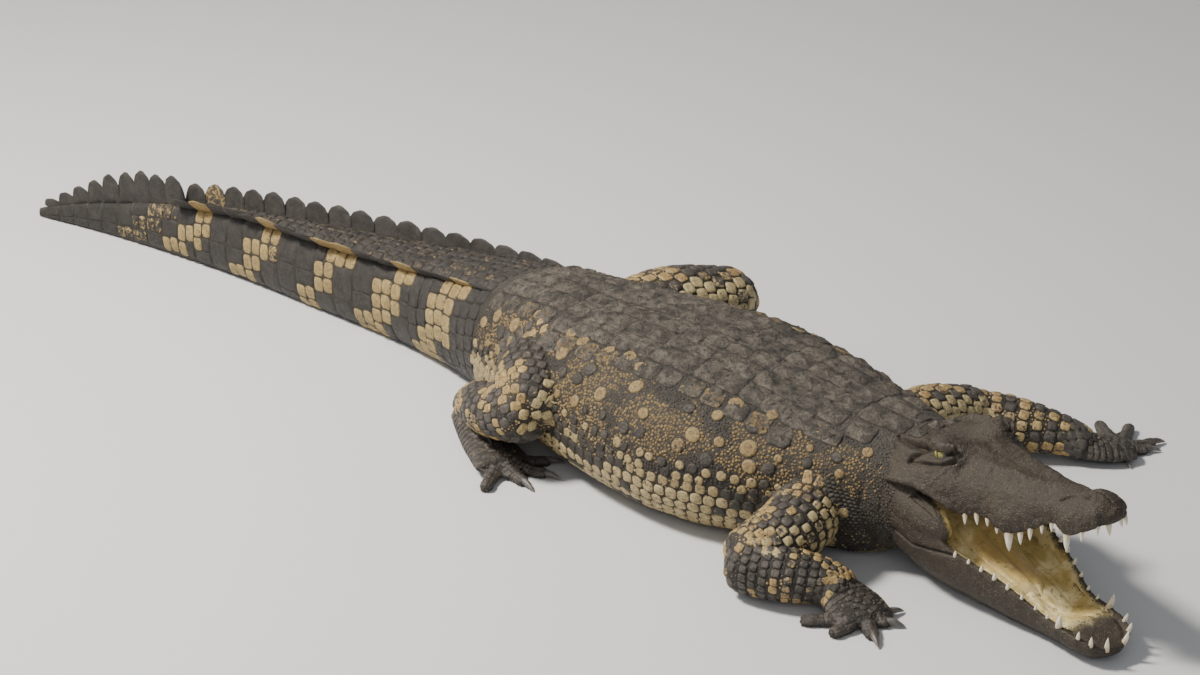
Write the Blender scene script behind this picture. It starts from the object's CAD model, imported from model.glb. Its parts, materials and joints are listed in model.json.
# %% [markdown]
# # A life-size saltwater crocodile
#
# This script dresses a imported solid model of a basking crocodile, two and a half metres long. The
# solids carry the true outline. Here they get one unbroken skin, eyes with lids, teeth, claws and a
# coat of solid scales, from the large plates of the back to the beads between them. The steps are:
#
# 1. load the frame, and set the camera, the floor and the light,
# 2. repeat the named sizes that shape the body,
# 3. make the skin as one mesh, and work the folds of the head into it,
# 4. decide the markings once, so that skin and scales agree,
# 5. mix the finishes,
# 6. lay the scales with one Geometry Nodes tree, piece by piece, and scatter beads with another,
# 7. add eyes, teeth, claws and tongue.

# %% Load the frame
import json
import math

import bmesh
import bpy
import numpy as np
from mathutils import Matrix, Vector, kdtree, noise
from mathutils.bvhtree import BVHTree

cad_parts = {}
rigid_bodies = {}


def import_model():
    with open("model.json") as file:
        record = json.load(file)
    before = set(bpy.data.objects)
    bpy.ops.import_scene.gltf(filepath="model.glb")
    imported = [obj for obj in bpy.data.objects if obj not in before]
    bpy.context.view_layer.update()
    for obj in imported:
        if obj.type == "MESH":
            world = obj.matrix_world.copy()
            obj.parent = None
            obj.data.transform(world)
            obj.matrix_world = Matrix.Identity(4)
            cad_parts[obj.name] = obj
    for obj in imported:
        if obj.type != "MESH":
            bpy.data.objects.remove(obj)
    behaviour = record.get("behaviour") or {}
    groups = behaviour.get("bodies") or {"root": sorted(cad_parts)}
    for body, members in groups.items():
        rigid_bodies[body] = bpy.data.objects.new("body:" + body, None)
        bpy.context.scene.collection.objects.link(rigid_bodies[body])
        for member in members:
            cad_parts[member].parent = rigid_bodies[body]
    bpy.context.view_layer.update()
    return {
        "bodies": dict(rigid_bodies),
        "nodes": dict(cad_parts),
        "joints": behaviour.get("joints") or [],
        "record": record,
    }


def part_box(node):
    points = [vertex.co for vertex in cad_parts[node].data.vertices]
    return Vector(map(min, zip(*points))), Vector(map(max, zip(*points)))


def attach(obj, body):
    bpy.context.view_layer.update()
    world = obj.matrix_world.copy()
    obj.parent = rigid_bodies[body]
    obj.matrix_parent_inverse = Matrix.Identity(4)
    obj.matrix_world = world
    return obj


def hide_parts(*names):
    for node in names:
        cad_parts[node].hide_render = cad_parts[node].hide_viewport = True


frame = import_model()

# %% [markdown]
# ## Camera, floor and light
#
# The camera looks down from the animal's right front, from almost five metres away, with a long
# lens, so the jaws are large and the tail runs off small. The floor is a pale sheet so large that
# its edge is out of sight. The light is a soft key, high over the animal's right side and a little
# behind it, with a weak fill near the camera and another from the tail's side, so that the low
# relief of the scales shows and the shadows stay soft.

# %% Camera
CAMERA_PLACE = (2.9188, -3.2011, 2.0380)
CAMERA_TURN = (65.449, 0.0, 41.613)  # degrees
LENS = 84.12  # millimetres, on a sensor 36 wide


def in_scene(name, data):
    """A new object with this data, linked to the scene."""
    obj = bpy.data.objects.new(name, data)
    bpy.context.scene.collection.objects.link(obj)
    return obj


camera = in_scene("camera", bpy.data.cameras.new("camera"))
camera.data.lens = LENS
camera.data.sensor_width = 36.0
camera.data.clip_end = 60.0
camera.location = CAMERA_PLACE
camera.rotation_euler = [math.radians(angle) for angle in CAMERA_TURN]
bpy.context.scene.camera = camera
print("camera stands", round(Vector(CAMERA_PLACE).length, 2), "m from the middle of the animal")


# %% Node trees, in short
def plug(tree, target, source):
    """Sets a socket to a plain value, or links it to another socket."""
    if isinstance(source, bpy.types.NodeSocket):
        tree.links.new(source, target)
    elif isinstance(source, tuple) and len(source) == 3 and target.type == "RGBA":
        target.default_value = (*source, 1.0)
    else:
        target.default_value = source


def add(tree, kind, inputs=(), **settings):
    """Adds a node, sets its properties, and plugs its inputs by name or number."""
    made = tree.nodes.new(kind)
    for key, value in settings.items():
        setattr(made, key, value)
    for key, source in dict(inputs).items():
        plug(tree, made.inputs[key], source)
    return made


def shader_material(name):
    """An empty node material: its tree, its Principled shader."""
    made = bpy.data.materials.new(name)
    made.use_nodes = True
    return made, made.node_tree, made.node_tree.nodes["Principled BSDF"]


# %% Floor and light
def light(name, place, aim, watts, size, colour):
    """A square lamp that looks at a point."""
    lamp = bpy.data.lights.new(name, "AREA")
    lamp.energy = watts
    lamp.size = size
    lamp.color = colour
    obj = in_scene(name, lamp)
    obj.location = place
    obj.rotation_euler = (Vector(aim) - Vector(place)).to_track_quat("-Z", "Y").to_euler()


FLOOR_HALF = 14.0
FLOOR_TONES = (0.60, 0.64)
floor_mesh = bpy.data.meshes.new("floor")
corners = [(x * FLOOR_HALF, y * FLOOR_HALF, 0) for x, y in ((-1, -1), (1, -1), (1, 1), (-1, 1))]
floor_mesh.from_pydata(corners, [], [(0, 1, 2, 3)])
floor_paint, tree, shader = shader_material("floor_paint")
shader.inputs["Roughness"].default_value = 0.9
cloud = add(tree, "ShaderNodeTexNoise", {"Scale": 3.0, "Detail": 2.0}).outputs["Fac"]
tones = {"Value": cloud, "To Min": FLOOR_TONES[0], "To Max": FLOOR_TONES[1]}
tone = add(tree, "ShaderNodeMapRange", tones).outputs["Result"]
grey = add(tree, "ShaderNodeCombineColor", {"Red": tone, "Green": tone, "Blue": tone})
plug(tree, shader.inputs["Base Color"], grey.outputs["Color"])
floor_mesh.materials.append(floor_paint)
floor = in_scene("floor", floor_mesh)

light("key", (-1.3, -1.9, 3.5), (0.3, 0.0, 0.1), 330, 0.7, (1.0, 0.95, 0.87))
light("fill", (3.0, -3.4, 2.6), (0.3, 0.0, 0.1), 42, 3.2, (0.95, 0.97, 1.0))
light("side", (-3.2, -2.2, 2.4), (0.0, 0.0, 0.1), 34, 2.6, (1.0, 0.98, 0.95))
world = bpy.data.worlds.new("studio")
world.use_nodes = True
sky = world.node_tree.nodes["Background"].inputs
sky["Color"].default_value = (0.92, 0.95, 1.0, 1)
sky["Strength"].default_value = 0.30
bpy.context.scene.world = world
print("three lamps and a pale sky")

# %% [markdown]
# ## The sizes that shape the body
#
# The body is a loft along one curved axis, from the tip of the tail to the back of the skull. A
# station is the distance along that axis from the hips, plus towards the head. The skull and the
# lower jaw have frames of their own, hinged apart at the jaw joint, and a limb is a chain of tapered
# tubes. These are the same named sizes that the solids were made from, so the skin lies just inside
# them. They are kept as small tables of key sections, with a smooth curve through each column,
# because a table of sections is how a model maker measures an animal.

# %% Axis and sections of the body
TAIL_TIP = -1.385
NECK_END = 0.725

# Turns of the body axis: station, heading in degrees (plus is to the animal's left).
HEADINGS = (
    (-1.42, 13), (-1.16, 8), (-0.80, 5), (-0.46, 2), (-0.27, -7),
    (-0.10, -12), (0.08, -4), (0.25, 0), (0.50, 1), (0.80, -12),
)

# Sections of the body: station, half width, top, widest level, bottom, squareness.
BODY = (
    (-1.390, 0.004, 0.016, 0.007, -0.002, 2.0),
    (-1.320, 0.009, 0.040, 0.018, -0.003, 2.0),
    (-1.160, 0.017, 0.080, 0.034, -0.004, 2.0),
    (-1.000, 0.027, 0.108, 0.046, -0.005, 2.1),
    (-0.860, 0.038, 0.128, 0.056, -0.006, 2.3),
    (-0.660, 0.060, 0.142, 0.064, -0.008, 2.6),
    (-0.420, 0.086, 0.163, 0.076, -0.010, 2.7),
    (-0.200, 0.114, 0.202, 0.088, -0.010, 2.5),
    (-0.060, 0.138, 0.230, 0.098, -0.012, 2.5),
    (0.080, 0.182, 0.238, 0.098, -0.016, 2.4),
    (0.220, 0.216, 0.245, 0.094, -0.020, 2.35),
    (0.350, 0.224, 0.242, 0.092, -0.022, 2.3),
    (0.450, 0.200, 0.231, 0.096, -0.018, 2.3),
    (0.560, 0.156, 0.217, 0.104, -0.014, 2.3),
    (0.660, 0.124, 0.212, 0.102, -0.010, 2.3),
    (0.800, 0.112, 0.204, 0.096, -0.008, 2.3),
)


def read(table, at, number=1):
    """A smooth curve through one column of a table, read at one station or at many."""
    xs = np.array([row[0] for row in table], float)
    ys = np.array([row[number] for row in table], float)
    slopes = np.gradient(ys, xs)
    at = np.clip(np.asarray(at, float), xs[0], xs[-1])
    i = np.clip(np.searchsorted(xs, at) - 1, 0, len(xs) - 2)
    step = xs[i + 1] - xs[i]
    t = (at - xs[i]) / step
    rise = (3 - 2 * t) * t * t
    lead = t * (1 - t) ** 2
    tail = t * t * (t - 1)
    return ys[i] * (1 - rise) + ys[i + 1] * rise + step * (slopes[i] * lead + slopes[i + 1] * tail)


AXIS_STEP = 0.005
AXIS_STATIONS = np.arange(-1.42, 0.82, AXIS_STEP)
AXIS_HEADINGS = np.radians(read(HEADINGS, AXIS_STATIONS))
AXIS_X = np.cumsum(np.cos(AXIS_HEADINGS)) * AXIS_STEP
AXIS_Y = np.cumsum(np.sin(AXIS_HEADINGS)) * AXIS_STEP
AXIS_X -= np.interp(0.0, AXIS_STATIONS, AXIS_X)
AXIS_Y -= np.interp(0.0, AXIS_STATIONS, AXIS_Y)


def on_axis(station, left, up):
    """Points this far to the left of the axis and this high, as rows of x, y, z."""
    heading = np.interp(station, AXIS_STATIONS, AXIS_HEADINGS)
    x = np.interp(station, AXIS_STATIONS, AXIS_X) - left * np.sin(heading)
    y = np.interp(station, AXIS_STATIONS, AXIS_Y) + left * np.cos(heading)
    return np.stack(np.broadcast_arrays(x, y, up), -1)


def power(value, squareness):
    """A sine or a cosine, bent so that a round section gets squarer."""
    return np.sign(value) * np.abs(value) ** (2.0 / squareness)


def body_section(station, angle, grow=0.0):
    """(left, up) of the section, at an angle from the top towards the animal's left."""
    half, top, wide, bottom, square = (read(BODY, station, c) for c in range(1, 6))
    side = power(np.sin(angle), square)
    rise = power(np.cos(angle), square)
    height = np.where(rise > 0, top - wide, wide - bottom) + grow
    return (half + grow) * side, wide + height * rise


def body_points(station, angle, grow=0.0):
    """Points on the body, not below the floor."""
    left, up = body_section(station, angle, grow)
    return on_axis(station, left, np.maximum(up, 0.0))


print("body axis is", round(NECK_END - TAIL_TIP, 3), "m long")

# %% Skull and lower jaw
HEAD_BACK = Vector((0.684, 0.003, 0.205))  # middle of the back edge of the skull table
HEAD_YAW = math.radians(-14)
HEAD_PITCH = math.radians(13)
JAW_PITCH = math.radians(-10.5)
JAW_JOINT = Vector((0.0, 0.0, -0.083))

# Skull: station, half width, top, side level, tooth line, roundness of the sides.
SKULL = (
    (-0.012, 0.094, 0.026, -0.062, -0.068, 1.65),
    (0.030, 0.107, 0.030, -0.056, -0.062, 1.60),
    (0.085, 0.096, 0.022, -0.060, -0.070, 1.75),
    (0.127, 0.079, -0.004, -0.070, -0.092, 2.0),
    (0.170, 0.065, -0.018, -0.070, -0.091, 2.2),
    (0.213, 0.059, -0.028, -0.082, -0.108, 2.3),
    (0.250, 0.050, -0.036, -0.080, -0.099, 2.3),
    (0.290, 0.039, -0.042, -0.070, -0.085, 2.3),
    (0.316, 0.042, -0.043, -0.074, -0.095, 2.3),
    (0.345, 0.040, -0.042, -0.072, -0.087, 2.4),
    (0.368, 0.028, -0.046, -0.066, -0.078, 2.4),
    (0.382, 0.010, -0.056, -0.064, -0.070, 2.2),
)
PALATE_RISE = 0.020
ORBIT = (0.088, 0.047)  # place of a brow
BROW_RISE = 0.014
BROW_REACH = 0.026
NOSTRIL_X = 0.345
NOSTRIL_RISE = 0.008
NOSTRIL_REACH = 0.020
EYE_RADIUS = 0.0145
EYE_SEAT = Vector((0.092, 0.0575, -0.008))

# %% Lower jaw
# Station, half width, lip, bottom, lip thickness.
JAW = (
    (-0.045, 0.075, -0.012, -0.062, 0.022),
    (-0.010, 0.102, 0.004, -0.090, 0.028),
    (0.035, 0.110, 0.012, -0.102, 0.028),
    (0.090, 0.106, 0.010, -0.100, 0.022),
    (0.130, 0.097, -0.002, -0.096, 0.018),
    (0.170, 0.086, -0.006, -0.090, 0.016),
    (0.210, 0.075, -0.008, -0.085, 0.015),
    (0.250, 0.064, -0.014, -0.078, 0.014),
    (0.290, 0.054, -0.021, -0.069, 0.013),
    (0.328, 0.053, -0.018, -0.058, 0.013),
    (0.360, 0.050, -0.016, -0.051, 0.013),
    (0.385, 0.036, -0.018, -0.046, 0.013),
    (0.399, 0.012, -0.022, -0.036, 0.006),
)
FLOOR_DROP = 0.026
CHIN_SOLID = 0.335  # in front of this the jaw has no trough

SKULL_FRAME = (Matrix.Translation(HEAD_BACK) @ Matrix.Rotation(HEAD_YAW, 4, "Z")
               @ Matrix.Rotation(-HEAD_PITCH, 4, "Y"))
JAW_FRAME = (Matrix.Translation(SKULL_FRAME @ JAW_JOINT) @ Matrix.Rotation(HEAD_YAW, 4, "Z")
             @ Matrix.Rotation(-JAW_PITCH, 4, "Y"))
print("the jaws gape by", round(math.degrees(HEAD_PITCH - JAW_PITCH), 1), "degrees")


# %% Points on the skull and on the lower jaw
def swell(distance, reach):
    """A soft bump: one at its middle, and nearly nothing at twice its reach."""
    return np.exp(-((distance / reach) ** 2))


def soft_step(value, low, high):
    """Nought below low, one above high, and smooth between."""
    t = np.clip((value - low) / (high - low), 0, 1)
    return t * t * (3 - 2 * t)


def placed(frame, points):
    """Rows of points moved out of a frame of their own."""
    turn = np.array(frame)
    return points @ turn[:3, :3].T + turn[:3, 3]


def local(frame, points):
    """Rows of points read in a frame of their own."""
    return placed(frame.inverted(), points)


def skull_points(x, angle, grow=0.0):
    """Points round the skull, at an angle from the top. The lower half is the palate."""
    half, top, side_level, tooth, square = (read(SKULL, x, c) for c in range(1, 6))
    half = half + grow
    left = half * power(np.sin(angle), square)
    up = side_level + (top + grow - side_level) * np.abs(np.cos(angle)) ** (2 / square)
    up = np.minimum(up, grow)
    for hand in (1, -1):
        up = up + BROW_RISE * swell(np.hypot(x - ORBIT[0], left - hand * ORBIT[1]), BROW_REACH)
    up = up + NOSTRIL_RISE * swell(np.hypot(x - NOSTRIL_X, left), NOSTRIL_REACH)
    depth = np.maximum(-np.cos(angle), 0)
    under = half * np.sign(np.sin(angle)) * np.abs(np.sin(angle)) ** 0.45
    arch = PALATE_RISE * np.clip(1 - (under / np.maximum(half * 0.8, 1e-4)) ** 2, 0, 1)
    arch = arch * np.minimum(1, depth * 3)
    low = side_level - (side_level - tooth) * np.minimum(1.0, (depth * 2.2) ** 0.5) + arch
    above = np.cos(angle) >= 0
    points = np.broadcast_arrays(x, np.where(above, left, under), np.where(above, up, low))
    return placed(SKULL_FRAME, np.stack(points, -1))


JAW_OUTLINE = (  # share of the way round, part of the half width, part of the way from lip to bottom
    (0.00, 0.00, 1.00), (0.16, 0.55, 1.00), (0.32, 0.90, 0.62), (0.44, 1.00, 0.25), (0.54, 0.97, 0.0),
)


def jaw_points(x, turn, grow=0.0):
    """turn runs from 0 at the keel up the side, over the lip, to 1 at the floor of the mouth."""
    half, lip, bottom, thick = (read(JAW, x, c) for c in range(1, 5))
    hand = np.sign(turn)
    t = np.abs(turn)
    drop = FLOOR_DROP * np.clip((CHIN_SOLID - x) / 0.06, 0.06, 1.0)
    inner = np.maximum(half - thick, half * 0.35)
    keys = [row[0] for row in JAW_OUTLINE] + [0.62, 0.70, 0.80, 1.00]
    across = [(half + grow) * row[1] for row in JAW_OUTLINE]
    across += [(half + inner) / 2, inner, inner * 0.86, 0 * half]
    rise = [lip + (bottom - grow - lip) * row[2] for row in JAW_OUTLINE]
    rise += [lip + grow, lip - 0.006, lip - drop, lip - drop * 1.05]
    left = np.zeros(np.broadcast(x, turn).shape)
    up = np.zeros_like(left)
    for k in range(len(keys) - 1):
        inside = (t >= keys[k]) & (t <= keys[k + 1])
        share = np.clip((t - keys[k]) / (keys[k + 1] - keys[k]), 0, 1)
        left = np.where(inside, across[k] * (1 - share) + across[k + 1] * share, left)
        up = np.where(inside, rise[k] * (1 - share) + rise[k + 1] * share, up)
    return placed(JAW_FRAME, np.stack(np.broadcast_arrays(x, hand * left, up), -1))


# %% Limbs
# x forward from the hips, y to the animal's left, z up, with half sizes across and through.
LIMBS = {
    "right_fore": {
        "upper": ((0.552, -0.085, 0.090, 0.054, 0.054), (0.582, -0.190, 0.080, 0.054, 0.052),
                  (0.566, -0.276, 0.056, 0.046, 0.046)),
        "lower": ((0.562, -0.280, 0.050, 0.046, 0.046), (0.618, -0.258, 0.046, 0.050, 0.042),
                  (0.670, -0.228, 0.036, 0.042, 0.031), (0.696, -0.224, 0.028, 0.038, 0.025)),
        "palm": ((0.690, -0.224, 0.027, 0.038, 0.020), (0.727, -0.232, 0.019, 0.046, 0.017),
                 (0.755, -0.240, 0.013, 0.044, 0.012)),
        "toes": ((0.772, -0.171), (0.801, -0.207), (0.807, -0.281), (0.737, -0.303), (0.680, -0.301)),
    },
    "left_fore": {
        "upper": ((0.545, 0.085, 0.100, 0.054, 0.054), (0.532, 0.200, 0.096, 0.054, 0.052),
                  (0.545, 0.308, 0.068, 0.048, 0.048)),
        "lower": ((0.543, 0.312, 0.062, 0.047, 0.047), (0.605, 0.356, 0.053, 0.047, 0.043),
                  (0.670, 0.394, 0.040, 0.036, 0.032), (0.702, 0.408, 0.030, 0.033, 0.025)),
        "palm": ((0.696, 0.404, 0.027, 0.033, 0.020), (0.722, 0.438, 0.019, 0.042, 0.017),
                 (0.738, 0.470, 0.013, 0.042, 0.012)),
        "toes": ((0.776, 0.431), (0.779, 0.518), (0.767, 0.550), (0.698, 0.552), (0.653, 0.527)),
    },
    "right_hind": {
        "upper": ((0.000, -0.070, 0.130, 0.078, 0.068), (0.034, -0.145, 0.134, 0.072, 0.062),
                  (0.066, -0.208, 0.118, 0.056, 0.054)),
        "lower": ((0.066, -0.214, 0.110, 0.054, 0.052), (0.000, -0.205, 0.086, 0.052, 0.046),
                  (-0.070, -0.175, 0.064, 0.040, 0.038), (-0.098, -0.162, 0.048, 0.036, 0.032)),
        "palm": ((-0.094, -0.168, 0.034, 0.036, 0.027), (-0.022, -0.212, 0.025, 0.040, 0.022),
                 (0.038, -0.238, 0.016, 0.046, 0.014)),
        "toes": ((0.092, -0.149), (0.126, -0.197), (0.121, -0.255), (0.066, -0.309)),
    },
    "left_hind": {
        "upper": ((0.000, 0.080, 0.130, 0.078, 0.068), (0.012, 0.200, 0.140, 0.074, 0.062),
                  (0.048, 0.315, 0.124, 0.057, 0.054)),
        "lower": ((0.048, 0.322, 0.116, 0.055, 0.052), (-0.024, 0.330, 0.088, 0.052, 0.046),
                  (-0.095, 0.316, 0.062, 0.040, 0.036), (-0.122, 0.306, 0.047, 0.036, 0.032)),
        "palm": ((-0.118, 0.310, 0.033, 0.036, 0.026), (-0.048, 0.346, 0.025, 0.040, 0.022),
                 (0.016, 0.370, 0.016, 0.046, 0.014)),
        "toes": ((0.090, 0.312), (0.118, 0.360), (0.106, 0.412), (0.048, 0.446)),
    },
}
TOE_RADIUS = 0.0115
CLAW_LENGTH = 0.028
CLAW_RADIUS = 0.0058
CLAWED_TOES = 3


def chain(places):
    """A limb's places as a table that can be read at any share of its length."""
    return [(k / (len(places) - 1), *row) for k, row in enumerate(places)]


def tube_points(table, share, angle, grow=0.0):
    """Points on a tapered tube. The angle runs from the top round towards the tube's own right."""
    share, angle = np.broadcast_arrays(np.asarray(share, float), angle)
    middle = np.stack([read(table, share, c) for c in (1, 2, 3)], -1)
    ahead = np.stack([read(table, np.clip(share + 0.02, 0, 1), c) for c in (1, 2, 3)], -1)
    behind = np.stack([read(table, np.clip(share - 0.02, 0, 1), c) for c in (1, 2, 3)], -1)
    tangent = ahead - behind
    tangent /= np.linalg.norm(tangent, axis=-1, keepdims=True)
    across = np.cross(tangent, (0, 0, 1.0))
    across /= np.linalg.norm(across, axis=-1, keepdims=True)
    through = np.cross(across, tangent)
    wide = read(table, share, 4) + grow
    deep = read(table, share, 5) + grow
    points = middle + across * (wide * np.sin(angle))[..., None]
    points = points + through * (deep * np.cos(angle))[..., None]
    points[..., 2] = np.maximum(points[..., 2], 0.0)
    return points


# The frame's origin lies under the middle of the whole animal. The eyes say where the hips are.
eye_middle = sum(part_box("left_eye"), Vector()) / 2
HIPS = eye_middle - SKULL_FRAME @ EYE_SEAT
print("hips stand at", np.round(HIPS, 4))

# %% [markdown]
# ## One skin for the whole animal
#
# The real skin runs without a seam from the snout to the tail and down every leg. Modelling it by
# hand as one net of faces would take many poles where the legs join. Instead every part is lofted
# as a closed shell, half a millimetre to a few millimetres inside its solid, and one voxel
# remesh melts the shells into a single surface. A little smoothing rounds the valleys where
# a thigh or an upper arm leaves the trunk, which is what loose skin does there.

# %% Closed shells, lofted
SCALE_DEPTH = 0.0026  # the skin of the body lies this deep inside the solids
LIMB_DEPTH = 0.0020
HEAD_DEPTH = 0.0006


class Shells:
    """Collects closed shells, and remembers for each point which part it came from."""

    def __init__(self):
        self.verts, self.faces, self.parts, self.along, self.around = [], [], [], [], []
        self.count = 0

    def keep(self, points, part, along, around):
        """Stores points with their part and their place on it, and returns their numbers."""
        self.verts.append(points)
        self.parts.append(np.full(len(points), part))
        self.along.append(along)
        self.around.append(around)
        self.count += len(points)
        return np.arange(self.count - len(points), self.count)

    def loft(self, points, part, along, around):
        """points is rings by sides by 3. along and around name each point's place on the part."""
        rings, sides = points.shape[:2]
        along, around = (np.broadcast_to(values, (rings, sides)).ravel() for values in (along, around))
        index = self.keep(points.reshape(-1, 3), part, along, around).reshape(rings, sides)
        right = np.roll(index, -1, axis=1)
        self.faces += np.stack([index[:-1], right[:-1], right[1:], index[1:]], -1).reshape(-1, 4).tolist()
        for end, first, second in ((0, right, index), (-1, index, right)):
            tip = self.keep(points[end].mean(axis=0, keepdims=True), part, along[:1], np.zeros(1))[0]
            self.faces += [(a, b, int(tip)) for a, b in zip(first[end].tolist(), second[end].tolist())]

    def arrays(self):
        """All points, with their parts, places along and places around."""
        return [np.concatenate(lists) for lists in (self.verts, self.parts, self.along, self.around)]


LIMB_PARTS = ("upper", "lower", "palm", "toe")
PARTS = ["body", "skull", "jaw"] + [f"{limb} {key}" for limb in LIMBS for key in LIMB_PARTS]
shells = Shells()

stations = np.linspace(TAIL_TIP + 0.002, NECK_END + 0.02, 330)[:, None]
angles = np.linspace(-math.pi, math.pi, 97)[None, :-1]
thin = np.clip((stations + 1.39) / 0.12, 0.15, 1.0)
left, up = body_section(stations, angles, -SCALE_DEPTH * thin)
tuck = soft_step(stations, 0.61, 0.73)  # the throat draws in behind the jaw
left = left * (1 - 0.17 * tuck)
THROAT_LEVEL = 0.13  # the neck is narrower and shallower below this
drawn_in = THROAT_LEVEL + (up - THROAT_LEVEL) * (1 - 0.34 * tuck)
up = np.maximum(np.where(up < THROAT_LEVEL, drawn_in, up), 0.0)
shells.loft(on_axis(stations, left, up), 0, stations, angles / math.pi)

xs = np.concatenate([np.linspace(-0.012, 0.366, 150), np.linspace(0.369, 0.3815, 8)])[:, None]
cheeks = local(SKULL_FRAME, skull_points(xs, angles, -HEAD_DEPTH).reshape(-1, 3))
raised = 0.012 * swell(cheeks[:, 0] - 0.045, 0.060) * soft_step(-cheeks[:, 2], 0.040, 0.066)
cheeks[:, 2] += raised * soft_step(np.abs(cheeks[:, 1]), 0.050, 0.080)  # it ends above the jaw's muscle
cheeks = placed(SKULL_FRAME, cheeks).reshape(len(xs), -1, 3)
shells.loft(cheeks, 1, xs, angles / math.pi)
xs = np.concatenate([np.linspace(-0.045, 0.383, 150), np.linspace(0.386, 0.3985, 8)])[:, None]
turns = np.linspace(-1, 1, 121)[None, :-1]
shells.loft(jaw_points(xs, turns, -HEAD_DEPTH), 2, xs, turns)


def pad(frame, middle, size, part):
    """A soft swelling: an egg that lies along x in the frame of the skull or the jaw."""
    turn = np.linspace(0.04, 0.96, 26)[:, None] * math.pi
    x = middle[0] - size[0] * np.cos(turn)
    y = middle[1] + size[1] * np.sin(turn) * np.sin(angles)
    z = middle[2] + size[2] * np.sin(turn) * np.cos(angles)
    points = placed(frame, np.stack(np.broadcast_arrays(x, y, z), -1))
    shells.loft(points, part, x, angles / math.pi)


for hand in (1, -1):
    pad(JAW_FRAME, (0.044, hand * 0.083, 0.008), (0.080, 0.027, 0.030), 2)  # the muscle that shuts the jaw
pad(SKULL_FRAME, (-0.006, 0.0, -0.080), (0.048, 0.090, 0.026), 1)  # the skin that joins the jaws
pad(SKULL_FRAME, (0.352, 0.0, -0.066), (0.030, 0.030, 0.016), 1)  # the front of the snout is solid
print(shells.count, "points on the body, the skull and the jaw")


# %% Limbs, toes and webs
def tube_shell(places, part, grow, cap=0.6, rings=30, sides=32):
    """A tapered tube along a list of places, with a rounded cap at each end."""
    table = chain(places)
    share = np.linspace(0, 1, rings)[:, None]
    angle = np.linspace(-math.pi, math.pi, sides + 1)[None, :-1]
    body = tube_points(table, share, angle, grow)
    caps = []
    for at, inside in ((0.0, 0.04), (1.0, 0.96)):
        ring = tube_points(table, np.array([[at]]), angle, grow)[0]
        middle = ring.mean(axis=0)
        inward = tube_points(table, np.array([[inside]]), angle, grow)[0].mean(axis=0)
        out = (middle - inward) / np.linalg.norm(middle - inward)
        size = min(read(table, at, 4), read(table, at, 5)) * cap
        turns = [turn * math.pi / 2 for turn in (0.35, 0.7, 0.92)]
        caps.append([middle + (ring - middle) * math.cos(turn) + out * size * math.sin(turn)
                     for turn in turns])
    points = np.concatenate([np.array(caps[0][::-1]), body, np.array(caps[1])])
    points[..., 2] = np.maximum(points[..., 2], 0.0)
    along = np.concatenate([[0, 0, 0], share[:, 0], [1, 1, 1]])[:, None]
    shells.loft(points, part, along, angle / math.pi)


def toe_places(plan, number):
    """The places of one toe, from inside the palm to the base of the claw, and the claw's tip."""
    x, y = plan["toes"][number]
    root, knuckles = Vector(plan["palm"][1][:3]), Vector(plan["palm"][2][:3])
    tip = Vector((x, y, 0.0))
    start = root.lerp(knuckles, 0.75).lerp(tip, 0.18)
    clawed = number < CLAWED_TOES
    along = (tip - start).normalized()
    end = tip - along * (CLAW_LENGTH if clawed else TOE_RADIUS * 0.5)
    end.z = 0.0
    places = []
    for share, size in ((0.0, 1.05), (0.3, 0.98), (0.5, 1.04), (0.72, 0.90), (0.86, 0.94), (1.0, 0.80)):
        middle = start.lerp(end, share)
        level = middle.z * (1 - share) + TOE_RADIUS * 0.62 * share
        places.append((middle.x, middle.y, level, TOE_RADIUS * size, TOE_RADIUS * size * 0.92))
    return places, end, tip, along, clawed


WEB_REACH = 0.62  # share of a toe's length
WEB_THICKNESS = 0.0052


def web(first, second, part):
    """Skin between two toes: a thin fan with a hollow front edge."""
    reach = np.linspace(0.0, WEB_REACH, 9)
    rows = []
    for share in reach:
        a, b = (np.array([np.interp(share, np.linspace(0, 1, 6), [place[axis] for place in toe])
                          for axis in range(3)]) for toe in (first, second))
        rows.append([a + (b - a) * t for t in np.linspace(0, 1, 9)])
    grid = np.array(rows)
    hollow = 1 - 0.42 * np.sin(np.linspace(0, math.pi, 9)) * (reach / reach[-1])[:, None]
    grid = grid[0][None] + (grid - grid[0][None]) * hollow[..., None]
    half_thick = np.array([0, 0, WEB_THICKNESS / 2])
    points = np.concatenate([grid + half_thick, grid[:, ::-1] - half_thick], axis=1)
    points[..., 2] = np.maximum(points[..., 2], 0.0)
    shells.loft(points, part, reach[:, None], np.linspace(-1, 1, 18)[None, :])


claw_seats = []
for limb, plan in LIMBS.items():
    first_part = PARTS.index(f"{limb} upper")
    tube_shell(plan["upper"], first_part, -LIMB_DEPTH)
    tube_shell(plan["lower"], first_part + 1, -LIMB_DEPTH)
    tube_shell(plan["palm"], first_part + 2, -LIMB_DEPTH * 0.5, rings=24)
    toes = []
    for number in range(len(plan["toes"])):
        places, end, tip, along, clawed = toe_places(plan, number)
        tube_shell(places, first_part + 3, -0.0006, cap=0.5, rings=24, sides=16)
        toes.append(places)
        if clawed:
            claw_seats.append((end, tip, along))
    if "hind" in limb:
        for one, other in zip(toes, toes[1:]):
            web(one, other, first_part + 3)
print(len(claw_seats), "toes have claws")

# %% Melt the shells into one skin
VOXEL = 0.0026


def mesh_object(name, verts, faces):
    """A new mesh object from points and faces."""
    mesh = bpy.data.meshes.new(name)
    mesh.from_pydata(verts, [], faces)
    mesh.update()
    return in_scene(name, mesh)


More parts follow.
